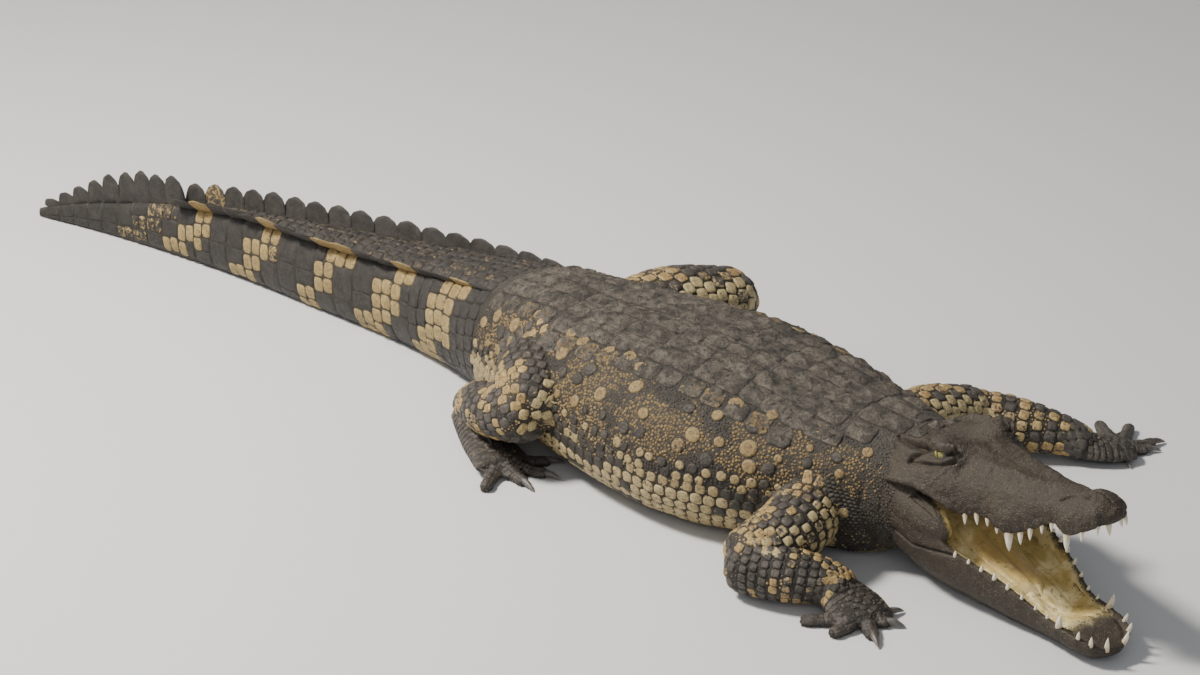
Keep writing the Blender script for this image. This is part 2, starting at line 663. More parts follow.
def face_outward(obj, merge=0.0):
    """Merges points that lie closer than this, and turns every face outwards."""
    net = bmesh.new()
    net.from_mesh(obj.data)
    if merge:
        bmesh.ops.remove_doubles(net, verts=net.verts, dist=merge)
    bmesh.ops.recalc_face_normals(net, faces=net.faces)
    net.to_mesh(obj.data)
    net.free()


def applied(obj):
    """The object's mesh with its modifiers worked in, as a plain mesh."""
    graph = bpy.context.evaluated_depsgraph_get()
    mesh = bpy.data.meshes.new_from_object(obj.evaluated_get(graph))
    obj.modifiers.clear()
    obj.data = mesh
    return mesh


def coords(mesh, what="co"):
    """Rows of x, y, z for every point: its place, or its normal."""
    flat = np.empty(len(mesh.vertices) * 3)
    mesh.vertices.foreach_get(what, flat)
    return flat.reshape(-1, 3)


def set_coords(mesh, points):
    """Puts every point of a mesh in its new place."""
    mesh.vertices.foreach_set("co", np.ascontiguousarray(points, float).ravel())
    mesh.update()


source_points, source_part, source_along, source_around = shells.arrays()
skin = mesh_object("skin", source_points.tolist(), shells.faces)
melt = skin.modifiers.new("melt", "REMESH")
melt.mode = "VOXEL"
melt.voxel_size = VOXEL
relax = skin.modifiers.new("relax", "SMOOTH")
relax.factor = 0.5
relax.iterations = 3
applied(skin)
print("skin before carving:", len(skin.data.vertices), "points,", len(skin.data.polygons), "faces")

# %% [markdown]
# ## Folds of the head
#
# A crocodile's skull shows through its skin: a flat table behind the eyes, a raised brow, two rough
# ridges running down the snout, a swelling over each large tooth and a mound for the nostrils. The
# ear is a slit under the edge of the table, and a deep crease runs above the muscle of the jaw.
# These could be sculpted, but here each one is a short rule that pushes the skin's points in or out
# along their normals, in the skull's own frame. First the net is made twice as fine on the head.

# %% A finer net on the head
HEAD_FROM = -0.030  # in the skull's frame

net = bmesh.new()
net.from_mesh(skin.data)
to_skull = SKULL_FRAME.inverted()
fine_edges = set()
for face in net.faces:
    if (to_skull @ face.calc_center_median()).x > HEAD_FROM:
        fine_edges.update(face.edges)
bmesh.ops.subdivide_edges(net, edges=list(fine_edges), cuts=1, use_grid_fill=True, smooth=0.0)
net.to_mesh(skin.data)
net.free()
print("skin with a fine head:", len(skin.data.vertices), "points")

# %% Which part each point of the skin belongs to
source_tree = kdtree.KDTree(len(source_points))
for i, point in enumerate(source_points):
    source_tree.insert(point, i)
source_tree.balance()


def nearest_source(points):
    """For each point, the number of the shells' point that lies nearest."""
    return np.fromiter((source_tree.find(p)[1] for p in points), int, len(points))


def turned(frame, directions):
    """Rows of directions, read in a frame of their own."""
    return directions @ np.array(frame)[:3, :3]


def noise_at(points, scale, seed=0.0):
    """Smooth noise from minus one to one, at rows of points."""
    offset = Vector((seed * 7.31, seed * 3.17, seed * 5.93))
    return np.fromiter((noise.noise(Vector(p) * scale + offset) for p in points), float, len(points))


def to_path(across, up, path):
    """Distance, in one plane, from points to a bent line."""
    best = np.full(len(across), 9.0)
    for (a, b), (c, d) in zip(path, path[1:]):
        run = (c - a, d - b)
        share = np.clip(((across - a) * run[0] + (up - b) * run[1]) / (run[0] ** 2 + run[1] ** 2), 0, 1)
        best = np.minimum(best, np.hypot(across - a - share * run[0], up - b - share * run[1]))
    return best


place, normal = coords(skin.data), coords(skin.data, "normal")
owner = nearest_source(place)
part = source_part[owner]
in_skull = local(SKULL_FRAME, place)
in_jaw = local(JAW_FRAME, place)
normal_skull = turned(SKULL_FRAME, normal)
normal_jaw = turned(JAW_FRAME, normal)
print("points on the skull", int((part == 1).sum()), "and on the lower jaw", int((part == 2).sum()))

# %% The frame of each eye
EYE_OUT = Vector((0.15, 0.95, 0.16)).normalized()
ALMOND_HALF = 0.96  # half length of the opening, in radii of the ball
ALMOND_MIDDLE = 0.10  # the opening lies this far forward of the line of sight
UPPER_LID = 0.20
LOWER_LID = 0.54


def eye_axes(hand):
    """Middle of the ball, and the directions to the snout, up, and out."""
    turn = SKULL_FRAME.to_3x3()
    out = turn @ Vector((EYE_OUT.x, hand * EYE_OUT.y, EYE_OUT.z))
    up = turn @ Vector((0, 0, 1))
    up = (up - out * up.dot(out)).normalized()
    front = turn @ Vector((1, 0, 0))
    front = (front - out * front.dot(out) - up * front.dot(up)).normalized()
    middle = SKULL_FRAME @ Vector((EYE_SEAT.x, hand * EYE_SEAT.y, EYE_SEAT.z))
    return middle, front, up, out


def lid_line(along, edge):
    """Height of a lid's edge over the line from corner to corner."""
    return edge * (1 - np.minimum(np.abs(along), 1.0) ** 2.1) - 0.06 * along


print("the eyes stand", round((eye_axes(1)[0] - eye_axes(-1)[0]).length * 1000), "mm apart")

# %% Teeth of one side
# Station, length and radius. The skin swells over each of them.
UPPER_TEETH = (
    (0.366, 0.012, 0.0036), (0.345, 0.013, 0.0036), (0.316, 0.026, 0.0056), (0.298, 0.011, 0.0030),
    (0.284, 0.014, 0.0034), (0.268, 0.012, 0.0032), (0.250, 0.016, 0.0040), (0.233, 0.018, 0.0044),
    (0.213, 0.028, 0.0066), (0.193, 0.012, 0.0036), (0.176, 0.012, 0.0036), (0.158, 0.014, 0.0038),
    (0.140, 0.012, 0.0036),
)
LOWER_TEETH = (
    (0.394, 0.018, 0.0040), (0.381, 0.013, 0.0036), (0.363, 0.013, 0.0036), (0.328, 0.022, 0.0054),
    (0.304, 0.006, 0.0030), (0.282, 0.006, 0.0030), (0.258, 0.007, 0.0032), (0.234, 0.009, 0.0036),
    (0.212, 0.009, 0.0038), (0.190, 0.007, 0.0036), (0.168, 0.005, 0.0034), (0.146, 0.004, 0.0032),
)
print(2 * len(UPPER_TEETH), "upper and", 2 * len(LOWER_TEETH), "lower teeth")

# %% Where the skull is carved
x, y, z = in_skull.T
side = np.abs(y)
on_skull = part == 1
upward = on_skull * soft_step(normal_skull[:, 2], 0.15, 0.5) * soft_step(z, -0.075, -0.055)
sideways = on_skull * soft_step(np.abs(normal_skull[:, 1]), 0.15, 0.45)
sideways = sideways * soft_step(normal_skull[:, 2], -0.75, -0.4)
edgewise = on_skull * soft_step(normal_skull[:, 2], 0.05, 0.35) * soft_step(z, -0.016, -0.006)
push = np.zeros(len(x))


def carve(push, x, up, lines):
    """Adds a ridge along each line of one plane, or a crease where its height is negative."""
    for mask, height, reach, path in lines:
        push += mask * height * swell(to_path(x, up, path), reach)


print("points that face up", int((upward > 0.5).sum()), "and sideways", int((sideways > 0.5).sum()))

# %% Ridges of the skull, seen from above
lumpy = 0.75 + 0.5 * noise_at(in_skull, 75, 1)
carve(push, x, side, (  # where, height, reach and the line
    (upward, 0.0058, 0.0085, ((0.080, 0.063), (0.098, 0.060), (0.116, 0.052))),  # brow
    (upward, -0.0040, 0.0050, ((0.068, 0.070), (0.070, 0.056))),
    (upward, -0.0045, 0.0055, ((0.126, 0.058), (0.131, 0.044))),
    (upward, -0.0030, 0.018, ((0.060, 0.0), (0.106, 0.0))),
    # the two rough ridges down the snout, and the dip between them
    (upward * lumpy, 0.0046, 0.0080, ((0.116, 0.046), (0.150, 0.034), (0.200, 0.023), (0.245, 0.017))),
    (upward, -0.0022, 0.0100, ((0.130, 0.0), (0.250, 0.0))),
    (edgewise, 0.0075, 0.0075, ((0.000, 0.068), (0.030, 0.067), (0.060, 0.063))),  # edge of the table
    (edgewise, 0.0110, 0.0085, ((-0.002, 0.074), (0.008, 0.073))),  # its rear corner
    (upward, -0.0052, 0.0030, ((0.302, 0.027), (0.313, 0.017), (0.332, 0.013), (0.347, 0.017))),  # nostril
    (upward, 0.0018, 0.0075, ((0.324, 0.025), (0.334, 0.023))),
    (upward, -0.0020, 0.0030, ((0.330, 0.0), (0.372, 0.0))),
    (upward, 0.0052, 0.0220, ((0.268, 0.0), (0.296, 0.0))),  # the snout runs on into the nose mound
))
print("ridges so far rise", round(float(push.max()) * 1000, 1), "mm")

# %% Folds of the skull, seen from the side
around_eye = np.hypot((x - 0.0940) / 0.0200, (z + 0.0050) / 0.0110)
push -= sideways * 0.0030 * np.exp(-around_eye ** 4)
carve(push, x, z, (
    # rear and front corner of the eye, then the fold and the pouch under it
    (sideways, -0.0068, 0.0028, ((0.078, -0.004), (0.064, -0.010), (0.054, -0.016), (0.049, -0.021))),
    (sideways, -0.0050, 0.0040, ((0.112, -0.004), (0.120, -0.013))),
    (sideways, -0.0042, 0.0026,
     ((0.052, -0.021), (0.064, -0.022), (0.087, -0.0225), (0.105, -0.0225), (0.117, -0.019))),
    (sideways, 0.0022, 0.0034, ((0.072, -0.0165), (0.092, -0.0175), (0.110, -0.0155))),
    # the slit of the ear, and the flap under it
    (sideways, -0.0130, 0.0042,
     ((0.000, -0.010), (0.008, -0.002), (0.020, 0.000), (0.045, -0.001), (0.066, -0.002))),
    (sideways, 0.0030, 0.0060, ((0.012, -0.013), (0.050, -0.010))),
    # the cheek over the muscle of the jaw
    (sideways, 0.0042, 0.0060,
     ((-0.004, -0.052), (0.030, -0.046), (0.066, -0.049), (0.086, -0.056), (0.120, -0.078))),
    (sideways, 0.0020, 0.0140, ((0.060, -0.036), (0.118, -0.050))),
    (sideways, -0.0030, 0.0110, ((0.122, -0.024), (0.152, -0.038))),
    (sideways, 0.0040, 0.0170, ((0.205, -0.088), (0.222, -0.086))),  # swelling of the largest tooth
    (sideways, 0.0024, 0.0120, ((0.316, -0.074), (0.324, -0.074))),
))
print("folds so far sink", round(float(-push.min()) * 1000, 1), "mm")

# %% Rough bone under the skin of the skull
for station, _, radius in UPPER_TEETH:
    foot = float(read(SKULL, station, 4))
    push += sideways * (0.40 * radius) * swell(x - station, radius * 1.3) * swell(z - foot - 0.010, 0.018)
rough = noise_at(in_skull, 55, 2) * 0.0015 + noise_at(in_skull, 130, 3) * 0.0009
rough = rough + noise_at(in_skull, 270, 4) * 0.0005
push += rough * (upward + sideways).clip(0, 1)
wrinkle = noise_at(in_skull * np.array([0.5, 1.0, 1.6]), 150, 5)
push -= 0.0009 * np.clip(wrinkle, 0, 1) * sideways

# %% Carve the lower jaw and the floor of the mouth
x, y, z = in_jaw.T
side = np.abs(y)
on_jaw = part == 2
flat = soft_step(normal_jaw[:, 1] * np.sign(y), 0.10, 0.40)
sideways = on_jaw * flat
carve(push, x, z, (
    # the crease under the muscle that shuts the jaw, and the bulge below it
    (sideways, -0.0046, 0.0030,
     ((-0.014, -0.008), (-0.006, -0.028), (0.070, -0.033), (0.126, -0.014), (0.146, -0.008))),
    (sideways, 0.0018, 0.0110, ((0.080, -0.052), (0.240, -0.046))),
))
for station, _, radius in LOWER_TEETH:
    half, lip = float(read(JAW, station, 1)), float(read(JAW, station, 2))
    from_tooth = np.hypot(x - station, (side - half) * 0.6)
    near_lip = on_jaw * soft_step(z, lip - 0.026, lip - 0.004)
    push += (0.32 * radius) * swell(from_tooth, radius * 1.3 + 0.001) * near_lip
outer = sideways + on_jaw * soft_step(x, 0.33, 0.36) * (1 - flat)
push += (noise_at(in_jaw, 60, 6) * 0.0010 + noise_at(in_jaw, 150, 7) * 0.0006) * outer
inside = on_jaw & (normal_jaw[:, 2] > 0.3) & (side < read(JAW, x, 1) - 0.012) & (x < 0.34)
crease = noise_at(in_jaw * np.array([0.20, 1.0, 1.0]), 100, 8)
push -= 0.0026 * soft_step(crease, 0.10, 0.45) * inside
push += 0.0012 * noise_at(in_jaw * np.array([0.6, 1.0, 1.0]), 120, 9) * inside

# %% Folds where the legs and the neck bend
on_trunk = part == 0
station = source_along[owner]
around = np.abs(source_around[owner])
neck_fold = np.sin((station - 0.02 * around) * 2 * math.pi / 0.034 + noise_at(place, 14, 10) * 2.0)
amount = swell(station - 0.665, 0.05) * soft_step(around, 0.30, 0.45) * on_trunk
push -= 0.0022 * np.clip(neck_fold, 0, 1) ** 3 * amount
flank = noise_at(place * np.array([0.8, 1.0, 1.0]), 16, 11)
push += 0.0022 * flank * on_trunk * soft_step(around, 0.15, 0.35) * soft_step(station, -0.2, 0.05)
push *= soft_step(place[:, 2], 0.0005, 0.006)
carved = place + normal * push[:, None]
print("deepest fold and highest ridge", np.round([push.min() * 1000, push.max() * 1000], 1), "mm")

# %% The sockets of the eyes, with the brow over them and the pouch under them
for hand in (1, -1):
    middle, front, up, out = (np.array(v) for v in eye_axes(hand))
    away = carved - middle
    reach = np.linalg.norm(away, axis=1)
    facing = away / reach[:, None]
    along, above, outward = facing @ front, facing @ up, facing @ out
    t = (along - ALMOND_MIDDLE) / ALMOND_HALF
    opened = (above < lid_line(t, UPPER_LID)) & (above > lid_line(t, -LOWER_LID))
    opened = opened & (np.abs(t) < 1) & (outward > 0)
    near = (reach < EYE_RADIUS * 2.2) & (outward > 0.05)
    length_wise = soft_step(along, -1.35, -0.70) * (1 - soft_step(along, 0.80, 0.98))
    brow_wise = soft_step(along, -0.95, -0.45) * (1 - soft_step(along, 0.98, 1.0))
    overhang = lid_line(t, UPPER_LID) + 0.30
    brow = 0.42 * soft_step(above, overhang, overhang + 0.18) * (1 - soft_step(above, 0.94, 1.0)) * brow_wise
    pouch = 0.12 * swell(above + 0.72, 0.20) * length_wise
    wanted = np.where(opened, EYE_RADIUS * 0.70, np.maximum(reach, EYE_RADIUS * (1.10 + brow + pouch)))
    wanted = np.where(near, wanted, reach)
    carved = middle + facing * wanted[:, None]
set_coords(skin.data, carved)
print("points moved", round(float(np.abs(carved - place).mean()) * 1000, 2), "mm on average")

# %% A lighter skin
# The fine skin stays as the bed for the scales, and a lighter one is the one that shows. The net
# round the eyes and the ears keeps all its points.
bed = in_scene("scale_bed", skin.data.copy())
SKIN_TRIANGLES = 192000
x, y, z = local(SKULL_FRAME, coords(skin.data)).T
kept_fine = (x > -0.004) & (x < 0.128) & (z > -0.028) & (z < 0.020) & (np.abs(y) > 0.050)
may_thin = skin.vertex_groups.new(name="may_thin")
may_thin.add(np.flatnonzero(~kept_fine).tolist(), 1.0, "REPLACE")
skin.data.calc_loop_triangles()
thin_out = skin.modifiers.new("thin out", "DECIMATE")
thin_out.vertex_group = "may_thin"
thin_out.ratio = SKIN_TRIANGLES / len(skin.data.loop_triangles)
thin_out.use_collapse_triangulate = True
applied(skin)
skin.vertex_groups.clear()
print(int(kept_fine.sum()), "points round the eyes stay")
print("skin that shows:", len(skin.data.vertices), "points,", len(skin.data.polygons), "faces")

# %% [markdown]
# ## Where things are on the body, and the markings
#
# Every scale needs a place: how far along the animal, and how far round it from the middle of the
# back. The round way is measured as a share of the half girth, so one row of scales stays one row
# while the body swells and thins. The markings are decided once, as rules on those two numbers and
# on slow noise, and both the skin and the scales read them: the tail is banded in yellow and black,
# with each band stepping back one ring lower down, the flanks are yellow beads on black skin, the
# belly side is cream, the back and the head are grey-brown.

# %% Share of the girth
GIRTH_STATIONS = np.linspace(TAIL_TIP, NECK_END + 0.03, 180)
GIRTH_ANGLES = np.linspace(0, math.pi, 181)
left, up = body_section(GIRTH_STATIONS[:, None], GIRTH_ANGLES[None, :])
up = np.maximum(up, 0.0)
steps = np.hypot(np.diff(left, axis=1), np.diff(up, axis=1))
GIRTH_ARC = np.concatenate([np.zeros((len(left), 1)), np.cumsum(steps, axis=1)], axis=1)
HALF_GIRTH = GIRTH_ARC[:, -1]
GIRTH_SHARE = GIRTH_ARC / HALF_GIRTH[:, None]
SHARES = np.linspace(0, 1, 181)
SHARE_ANGLE = np.array([np.interp(SHARES, row, GIRTH_ANGLES) for row in GIRTH_SHARE])


def grid_read(table, row, column):
    """Reads a table between its rows and columns. row and column run from 0 to 1."""
    row = np.clip(row, 0, 1) * (table.shape[0] - 1)
    column = np.clip(column, 0, 1) * (table.shape[1] - 1)
    i = np.minimum(row.astype(int), table.shape[0] - 2)
    j = np.minimum(column.astype(int), table.shape[1] - 2)
    a, b = row - i, column - j
    return ((table[i, j] * (1 - b) + table[i, j + 1] * b) * (1 - a)
            + (table[i + 1, j] * (1 - b) + table[i + 1, j + 1] * b) * a)


def station_share(station):
    return (np.asarray(station, float) - GIRTH_STATIONS[0]) / (GIRTH_STATIONS[-1] - GIRTH_STATIONS[0])


def half_girth(station):
    return np.interp(station, GIRTH_STATIONS, HALF_GIRTH)


def share_of(station, angle):
    """Share of the half girth at an angle from the top."""
    return grid_read(GIRTH_SHARE, station_share(station), np.abs(angle) / math.pi)


def on_body(station, share, hand):
    """Points on the solid's surface. hand is 1 on the animal's left and -1 on its right."""
    station, share, hand = np.broadcast_arrays(np.asarray(station, float), share, hand)
    angle = grid_read(SHARE_ANGLE, station_share(station), np.asarray(share, float))
    return body_points(station, angle * hand)


print("half girth at the middle of the trunk", round(float(half_girth(0.3)), 3), "m")

# %% Markings
# A band of the tail is centred here at its crest. Lower down it steps back.
BANDS = (  # station and strength
    (-0.25, 0.8), (-0.41, 1.0), (-0.58, 1.0), (-0.763, 1.0),
    (-0.945, 0.9), (-1.06, 0.42), (-1.20, 0.22), (-1.31, 0.2),
)
BAND_HALF = 0.040
CREST_ANGLES = ((-1.02, 14), (-0.85, 25), (-0.65, 34), (-0.45, 38), (-0.16, 36))


def crest_share(station):
    """Share of the half girth at which a crest stands."""
    angle = np.radians(read(CREST_ANGLES, station))
    return share_of(station, angle)


def band(station, share):
    """How yellow the tail is here, from 0 to 1."""
    best = np.zeros(np.broadcast(station, share).shape)
    step = 0.048 * soft_step(share, 0.26, 0.38) * 0.6 + 0.050 * soft_step(share, 0.52, 0.60)
    for centre, strength in BANDS:
        away = np.abs(station - (centre - step))
        best = np.maximum(best, strength * (1 - soft_step(away, BAND_HALF * 0.86, BAND_HALF * 1.12)))
    return best * soft_step(share, crest_share(station) * 0.85, crest_share(station) * 1.02)


def gold_on_body(station, share):
    """Yellow of the tail, flanks, neck and belly."""
    tail = band(station, share)
    flank = soft_step(share, 0.19, 0.30)
    neck = 1 - 0.66 * soft_step(station, 0.600, 0.690)
    trunk = flank * neck
    ahead = soft_step(station, -0.20, -0.10)
    return np.where(station < -0.14, tail, trunk * ahead + tail * (1 - ahead))


def cream_on_body(station, share):
    """Paler towards the belly."""
    return soft_step(share, 0.46, 0.56) * soft_step(station, -1.0, -0.5)


def limb_gold(points, seed):
    """Blotches of yellow on the legs."""
    return soft_step(noise_at(points, 26, seed) + 0.35 * noise_at(points, 70, seed + 1), -0.16, 0.10)


print("yellow along the tail, every 0.1 m:", np.round(band(np.arange(-1.3, -0.1, 0.1), 0.3), 1))


# %% Each point of the skin gets its place and its markings
def smoothed(mesh, values, rounds):
    """Evens out values over a mesh by sharing them along its edges."""
    flat = np.empty(len(mesh.edges) * 2, int)
    mesh.edges.foreach_get("vertices", flat)
    ends = flat.reshape(-1, 2)
    count = np.bincount(ends.ravel(), minlength=len(values)).astype(float)
    for _ in range(rounds):
        total = np.bincount(ends[:, 0], values[ends[:, 1]], len(values))
        total += np.bincount(ends[:, 1], values[ends[:, 0]], len(values))
        values = 0.5 * values + 0.5 * total / np.maximum(count, 1)
    return values


def store(mesh, name, values, kind="FLOAT"):
    """Writes one number, or one vector, for each point of a mesh."""
    layer = mesh.attributes.get(name) or mesh.attributes.new(name, kind, "POINT")
    field = "value" if kind == "FLOAT" else "vector"
    layer.data.foreach_set(field, np.asarray(values, np.float32).ravel())


def mouth_lining(place, normal, part, in_skull, in_jaw):
    """How much of the lining of the mouth shows at each point, from 0 to 1."""
    waver = 0.003 * noise_at(place, 60, 31)
    inset = read(SKULL, in_skull[:, 0], 1) - np.abs(in_skull[:, 1]) + waver
    down = -turned(SKULL_FRAME, normal)[:, 2]
    palate = (part == 1) * soft_step(down, 0.1, 0.5) * soft_step(inset, 0.005, 0.010)
    palate = palate * (1 - soft_step(in_skull[:, 0], 0.325, 0.345)) * (in_skull[:, 2] < -0.055)
    lip = 0.008 + 0.040 * swell(in_jaw[:, 0] - 0.022, 0.074)
    inset = read(JAW, in_jaw[:, 0], 1) - np.abs(in_jaw[:, 1]) + waver - lip
    rise = turned(JAW_FRAME, normal)[:, 2]
    bottom = (part == 2) * soft_step(inset, 0.0, 0.004)
    bottom = bottom * soft_step(rise, -0.2, 0.05) * (in_jaw[:, 2] > -0.055)
    bottom = bottom * (1 - soft_step(in_jaw[:, 0] + waver * 3, 0.325, 0.350))
    return np.maximum(palate, bottom)


def without_pebbles(in_skull):
    """The lids and the flap of the ear are smooth."""
    x, y, z = in_skull.T
    lids = (np.hypot(x - EYE_SEAT.x, z - EYE_SEAT.z) < 0.021) & (np.abs(y) > 0.044)
    flap = (x > 0.006) & (x < 0.085) & (z > -0.019) & (z < 0.002) & (np.abs(y) > 0.056)
    return lids | flap


def skin_fields(mesh):
    """The markings of every point of the skin, its part, and its nearest point of the shells."""
    place, normal = coords(mesh), coords(mesh, "normal")
    owner = nearest_source(place)
    part = source_part[owner]
    body, head, limb = part == 0, (part == 1) | (part == 2), part > 2
    station = source_along[owner]
    share = np.where(body, share_of(np.where(body, station, 0.0), source_around[owner] * math.pi), 0.0)
    in_skull = local(SKULL_FRAME, place)
    mouth = mouth_lining(place, normal, part, in_skull, local(JAW_FRAME, place))
    trunk = soft_step(station, -0.20, -0.10)
    gold = np.where(body, gold_on_body(station, share), 0.0)
    patches = soft_step(noise_at(place, 15, 41) + 0.4 * noise_at(place, 45, 42), 0.00, 0.26)
    gold = gold * (1 - 0.90 * patches * body * soft_step(station, -0.16, -0.10))
    feet = np.isin(part % 4, [1, 2]) & limb  # palms and toes
    grey = np.where(head, 1.0, np.where(body, 1 - soft_step(share, 0.16, 0.24), 0.0))
    beads = np.where(body, soft_step(share, 0.17, 0.21) * (1 - soft_step(share, 0.50, 0.54)), 0.0) * trunk
    beads = np.maximum(beads, body * soft_step(station, 0.555, 0.585))
    fields = {
        "mouth": mouth,
        "gold": np.where(limb, limb_gold(place, 21) * np.where(feet, 0.25, 0.8), gold),
        "cream": np.where(limb, 0.35, np.where(body, cream_on_body(station, share), 0.0)),
        "grey": np.maximum(grey, body * soft_step(station, 0.62, 0.72)),
        "head": np.maximum(head, body * soft_step(station, 0.655, 0.71)),
        "beads": np.where(limb, 1.0, beads),
        "pebbles": head * (1 - mouth) * ~without_pebbles(in_skull),
        "share": share,
    }
    return fields, part, owner


skin_values, skin_part, skin_owner = skin_fields(skin.data)
for rounds, names in ((3, ("gold", "cream", "grey", "mouth", "head")), (2, ("beads", "pebbles"))):
    for name in names:
        store(skin.data, name, smoothed(skin.data, skin_values[name], rounds))
print("yellow covers", round(float((skin_values["gold"] > 0.5).mean()) * 100), "% of the skin's points")

# %% [markdown]
# ## Finishes
#
# The colours are mixed from the markings that every mesh carries as attributes and from noise in
# the mesh's own coordinates, since every mesh sits at the origin. Four effects are used more than
# once, so each is a small node group: a speckle, the grain of tiny granules, the worn fibres of old
# horn, and the wet flesh of the mouth. Groups give only masks, colours and heights.

# %% Small helpers for shader trees
def mix_color(tree, first, second, factor):
    """The second colour over the first, as far as the factor says."""
    return add(tree, "ShaderNodeMix", {0: factor, 6: first, 7: second}, data_type="RGBA").outputs[2]


def ranged(tree, value, low, high, to_low=0.0, to_high=1.0):
    """The value, stretched softly from one range to another, and held at its ends."""
    ends = {"Value": value, "From Min": low, "From Max": high, "To Min": to_low, "To Max": to_high}
    return add(tree, "ShaderNodeMapRange", ends, interpolation_type="SMOOTHSTEP").outputs["Result"]


def maths(tree, operation, *sources):
    """One operation on one value or two."""
    return add(tree, "ShaderNodeMath", dict(enumerate(sources)), operation=operation).outputs["Value"]


def times(tree, first, *factors):
    """The product of several values."""
    for factor in factors:
        first = maths(tree, "MULTIPLY", first, factor)
    return first


def noise_mask(tree, vector, scale, detail=4.0, distortion=0.0, roughness=0.55):
    """Cloudy noise as a value."""
    grain = {"Vector": vector, "Scale": scale, "Detail": detail, "Distortion": distortion}
    return add(tree, "ShaderNodeTexNoise", {**grain, "Roughness": roughness}).outputs["Fac"]


def node_group(name, kind, inputs, outputs):
    """A new node group with its sockets: its tree, its inputs, and its output node."""
    tree = bpy.data.node_groups.new(name, kind)
    for label, socket_kind, default in inputs:
        socket = tree.interface.new_socket(label, in_out="INPUT", socket_type="NodeSocket" + socket_kind)
        if default is not None:
            socket.default_value = default
    for label, socket_kind in outputs:
        tree.interface.new_socket(label, in_out="OUTPUT", socket_type="NodeSocket" + socket_kind)
    return tree, tree.nodes.new("NodeGroupInput").outputs, tree.nodes.new("NodeGroupOutput")


def use_effect(tree, group, **inputs):
    """A shared effect, with its own inputs here."""
    return add(tree, "ShaderNodeGroup", inputs, node_tree=group).outputs


def own_place(tree):
    """The mesh's own coordinates."""
    return tree.nodes.new("ShaderNodeTexCoord").outputs["Object"]


def painted(tree, name):
    """One of the markings, as a value."""
    return add(tree, "ShaderNodeAttribute", attribute_name=name).outputs["Fac"]


def complete(tree, shader, colour, roughness, height, depth, strength):
    """Feeds the shader a colour, a roughness, and a height through a bump."""
    plug(tree, shader.inputs["Base Color"], colour)
    plug(tree, shader.inputs["Roughness"], roughness)
    bump = add(tree, "ShaderNodeBump", {"Distance": depth, "Strength": strength, "Height": height})
    plug(tree, shader.inputs["Normal"], bump.outputs["Normal"])


# %% Shared effects
def effect(name, scale, extra, outputs):
    """An effect that is placed by a vector, most often with a scale."""
    sized = (("Scale", "Float", scale),) if scale else ()
    return node_group(name, "ShaderNodeTree", (("Vector", "Vector", None), *sized, *extra), outputs)


speckle_group, given, out = effect(
    "speckle", 300.0, (("Low", "Float", 0.45), ("High", "Float", 0.60)), (("Mask", "Float"),))
fine = noise_mask(speckle_group, given["Vector"], given["Scale"], 5.0, 0.4, 0.65)
plug(speckle_group, out.inputs["Mask"], ranged(speckle_group, fine, given["Low"], given["High"]))

granule_group, given, out = effect("granules", 350.0, (), (("Mask", "Float"), ("Height", "Float")))
cell = add(granule_group, "ShaderNodeTexVoronoi", {"Vector": given["Vector"], "Scale": given["Scale"]},
           feature="DISTANCE_TO_EDGE").outputs["Distance"]
plug(granule_group, out.inputs["Mask"], ranged(granule_group, cell, 0.03, 0.20))
plug(granule_group, out.inputs["Height"], ranged(granule_group, cell, 0.0, 0.35))

fibre_group, given, out = effect("worn_fibres", 70.0, (), (("Mask", "Float"), ("Height", "Float")))
drift = noise_mask(fibre_group, given["Vector"], given["Scale"], 2.0)
streaks = noise_mask(fibre_group, given["Vector"], times(fibre_group, given["Scale"], 2.6), 7.0, 3.2, 0.66)
both = maths(fibre_group, "ADD", times(fibre_group, drift, 0.45), times(fibre_group, streaks, 0.75))
plug(fibre_group, out.inputs["Mask"], ranged(fibre_group, both, 0.46, 0.76))
plug(fibre_group, out.inputs["Height"], streaks)

flesh_group, given, out = effect("mouth_flesh", None, (), (("Color", "Color"), ("Height", "Float")))
broad = noise_mask(flesh_group, given["Vector"], 22.0, 3.0, 0.6)
narrow = noise_mask(flesh_group, given["Vector"], 120.0, 5.0, 1.5)
broad = ranged(flesh_group, broad, 0.40, 0.62)
lining = mix_color(flesh_group, (0.50, 0.375, 0.135), (0.74, 0.63, 0.34), broad)
lining = mix_color(flesh_group, lining, (0.22, 0.145, 0.060), ranged(flesh_group, narrow, 0.56, 0.72))
plug(flesh_group, out.inputs["Color"], lining)
plug(flesh_group, out.inputs["Height"], narrow)
print("shared effects:", [group.name for group in (speckle_group, granule_group, fibre_group, flesh_group)])

# %% [markdown]
# ## The finish of the skin
#
# Between the scales the skin is nearly black and finely grained, stained by the yellow round it. On
# the head it lies thin over the bone, grey-brown and clouded, and it goes over into the wet, creased
# lining of the mouth. One finish does all three, so that no seam shows: the markings say where.

# %% The skin
CHARCOAL = (0.019, 0.015, 0.011)
HEAD_DARK = (0.020, 0.015, 0.010)
HEAD_LIGHT = (0.080, 0.059, 0.038)
HEAD_CLOUD = (0.046, 0.033, 0.020)
STAIN = (0.15, 0.100, 0.042)  # of the yellow scales, on the skin between them

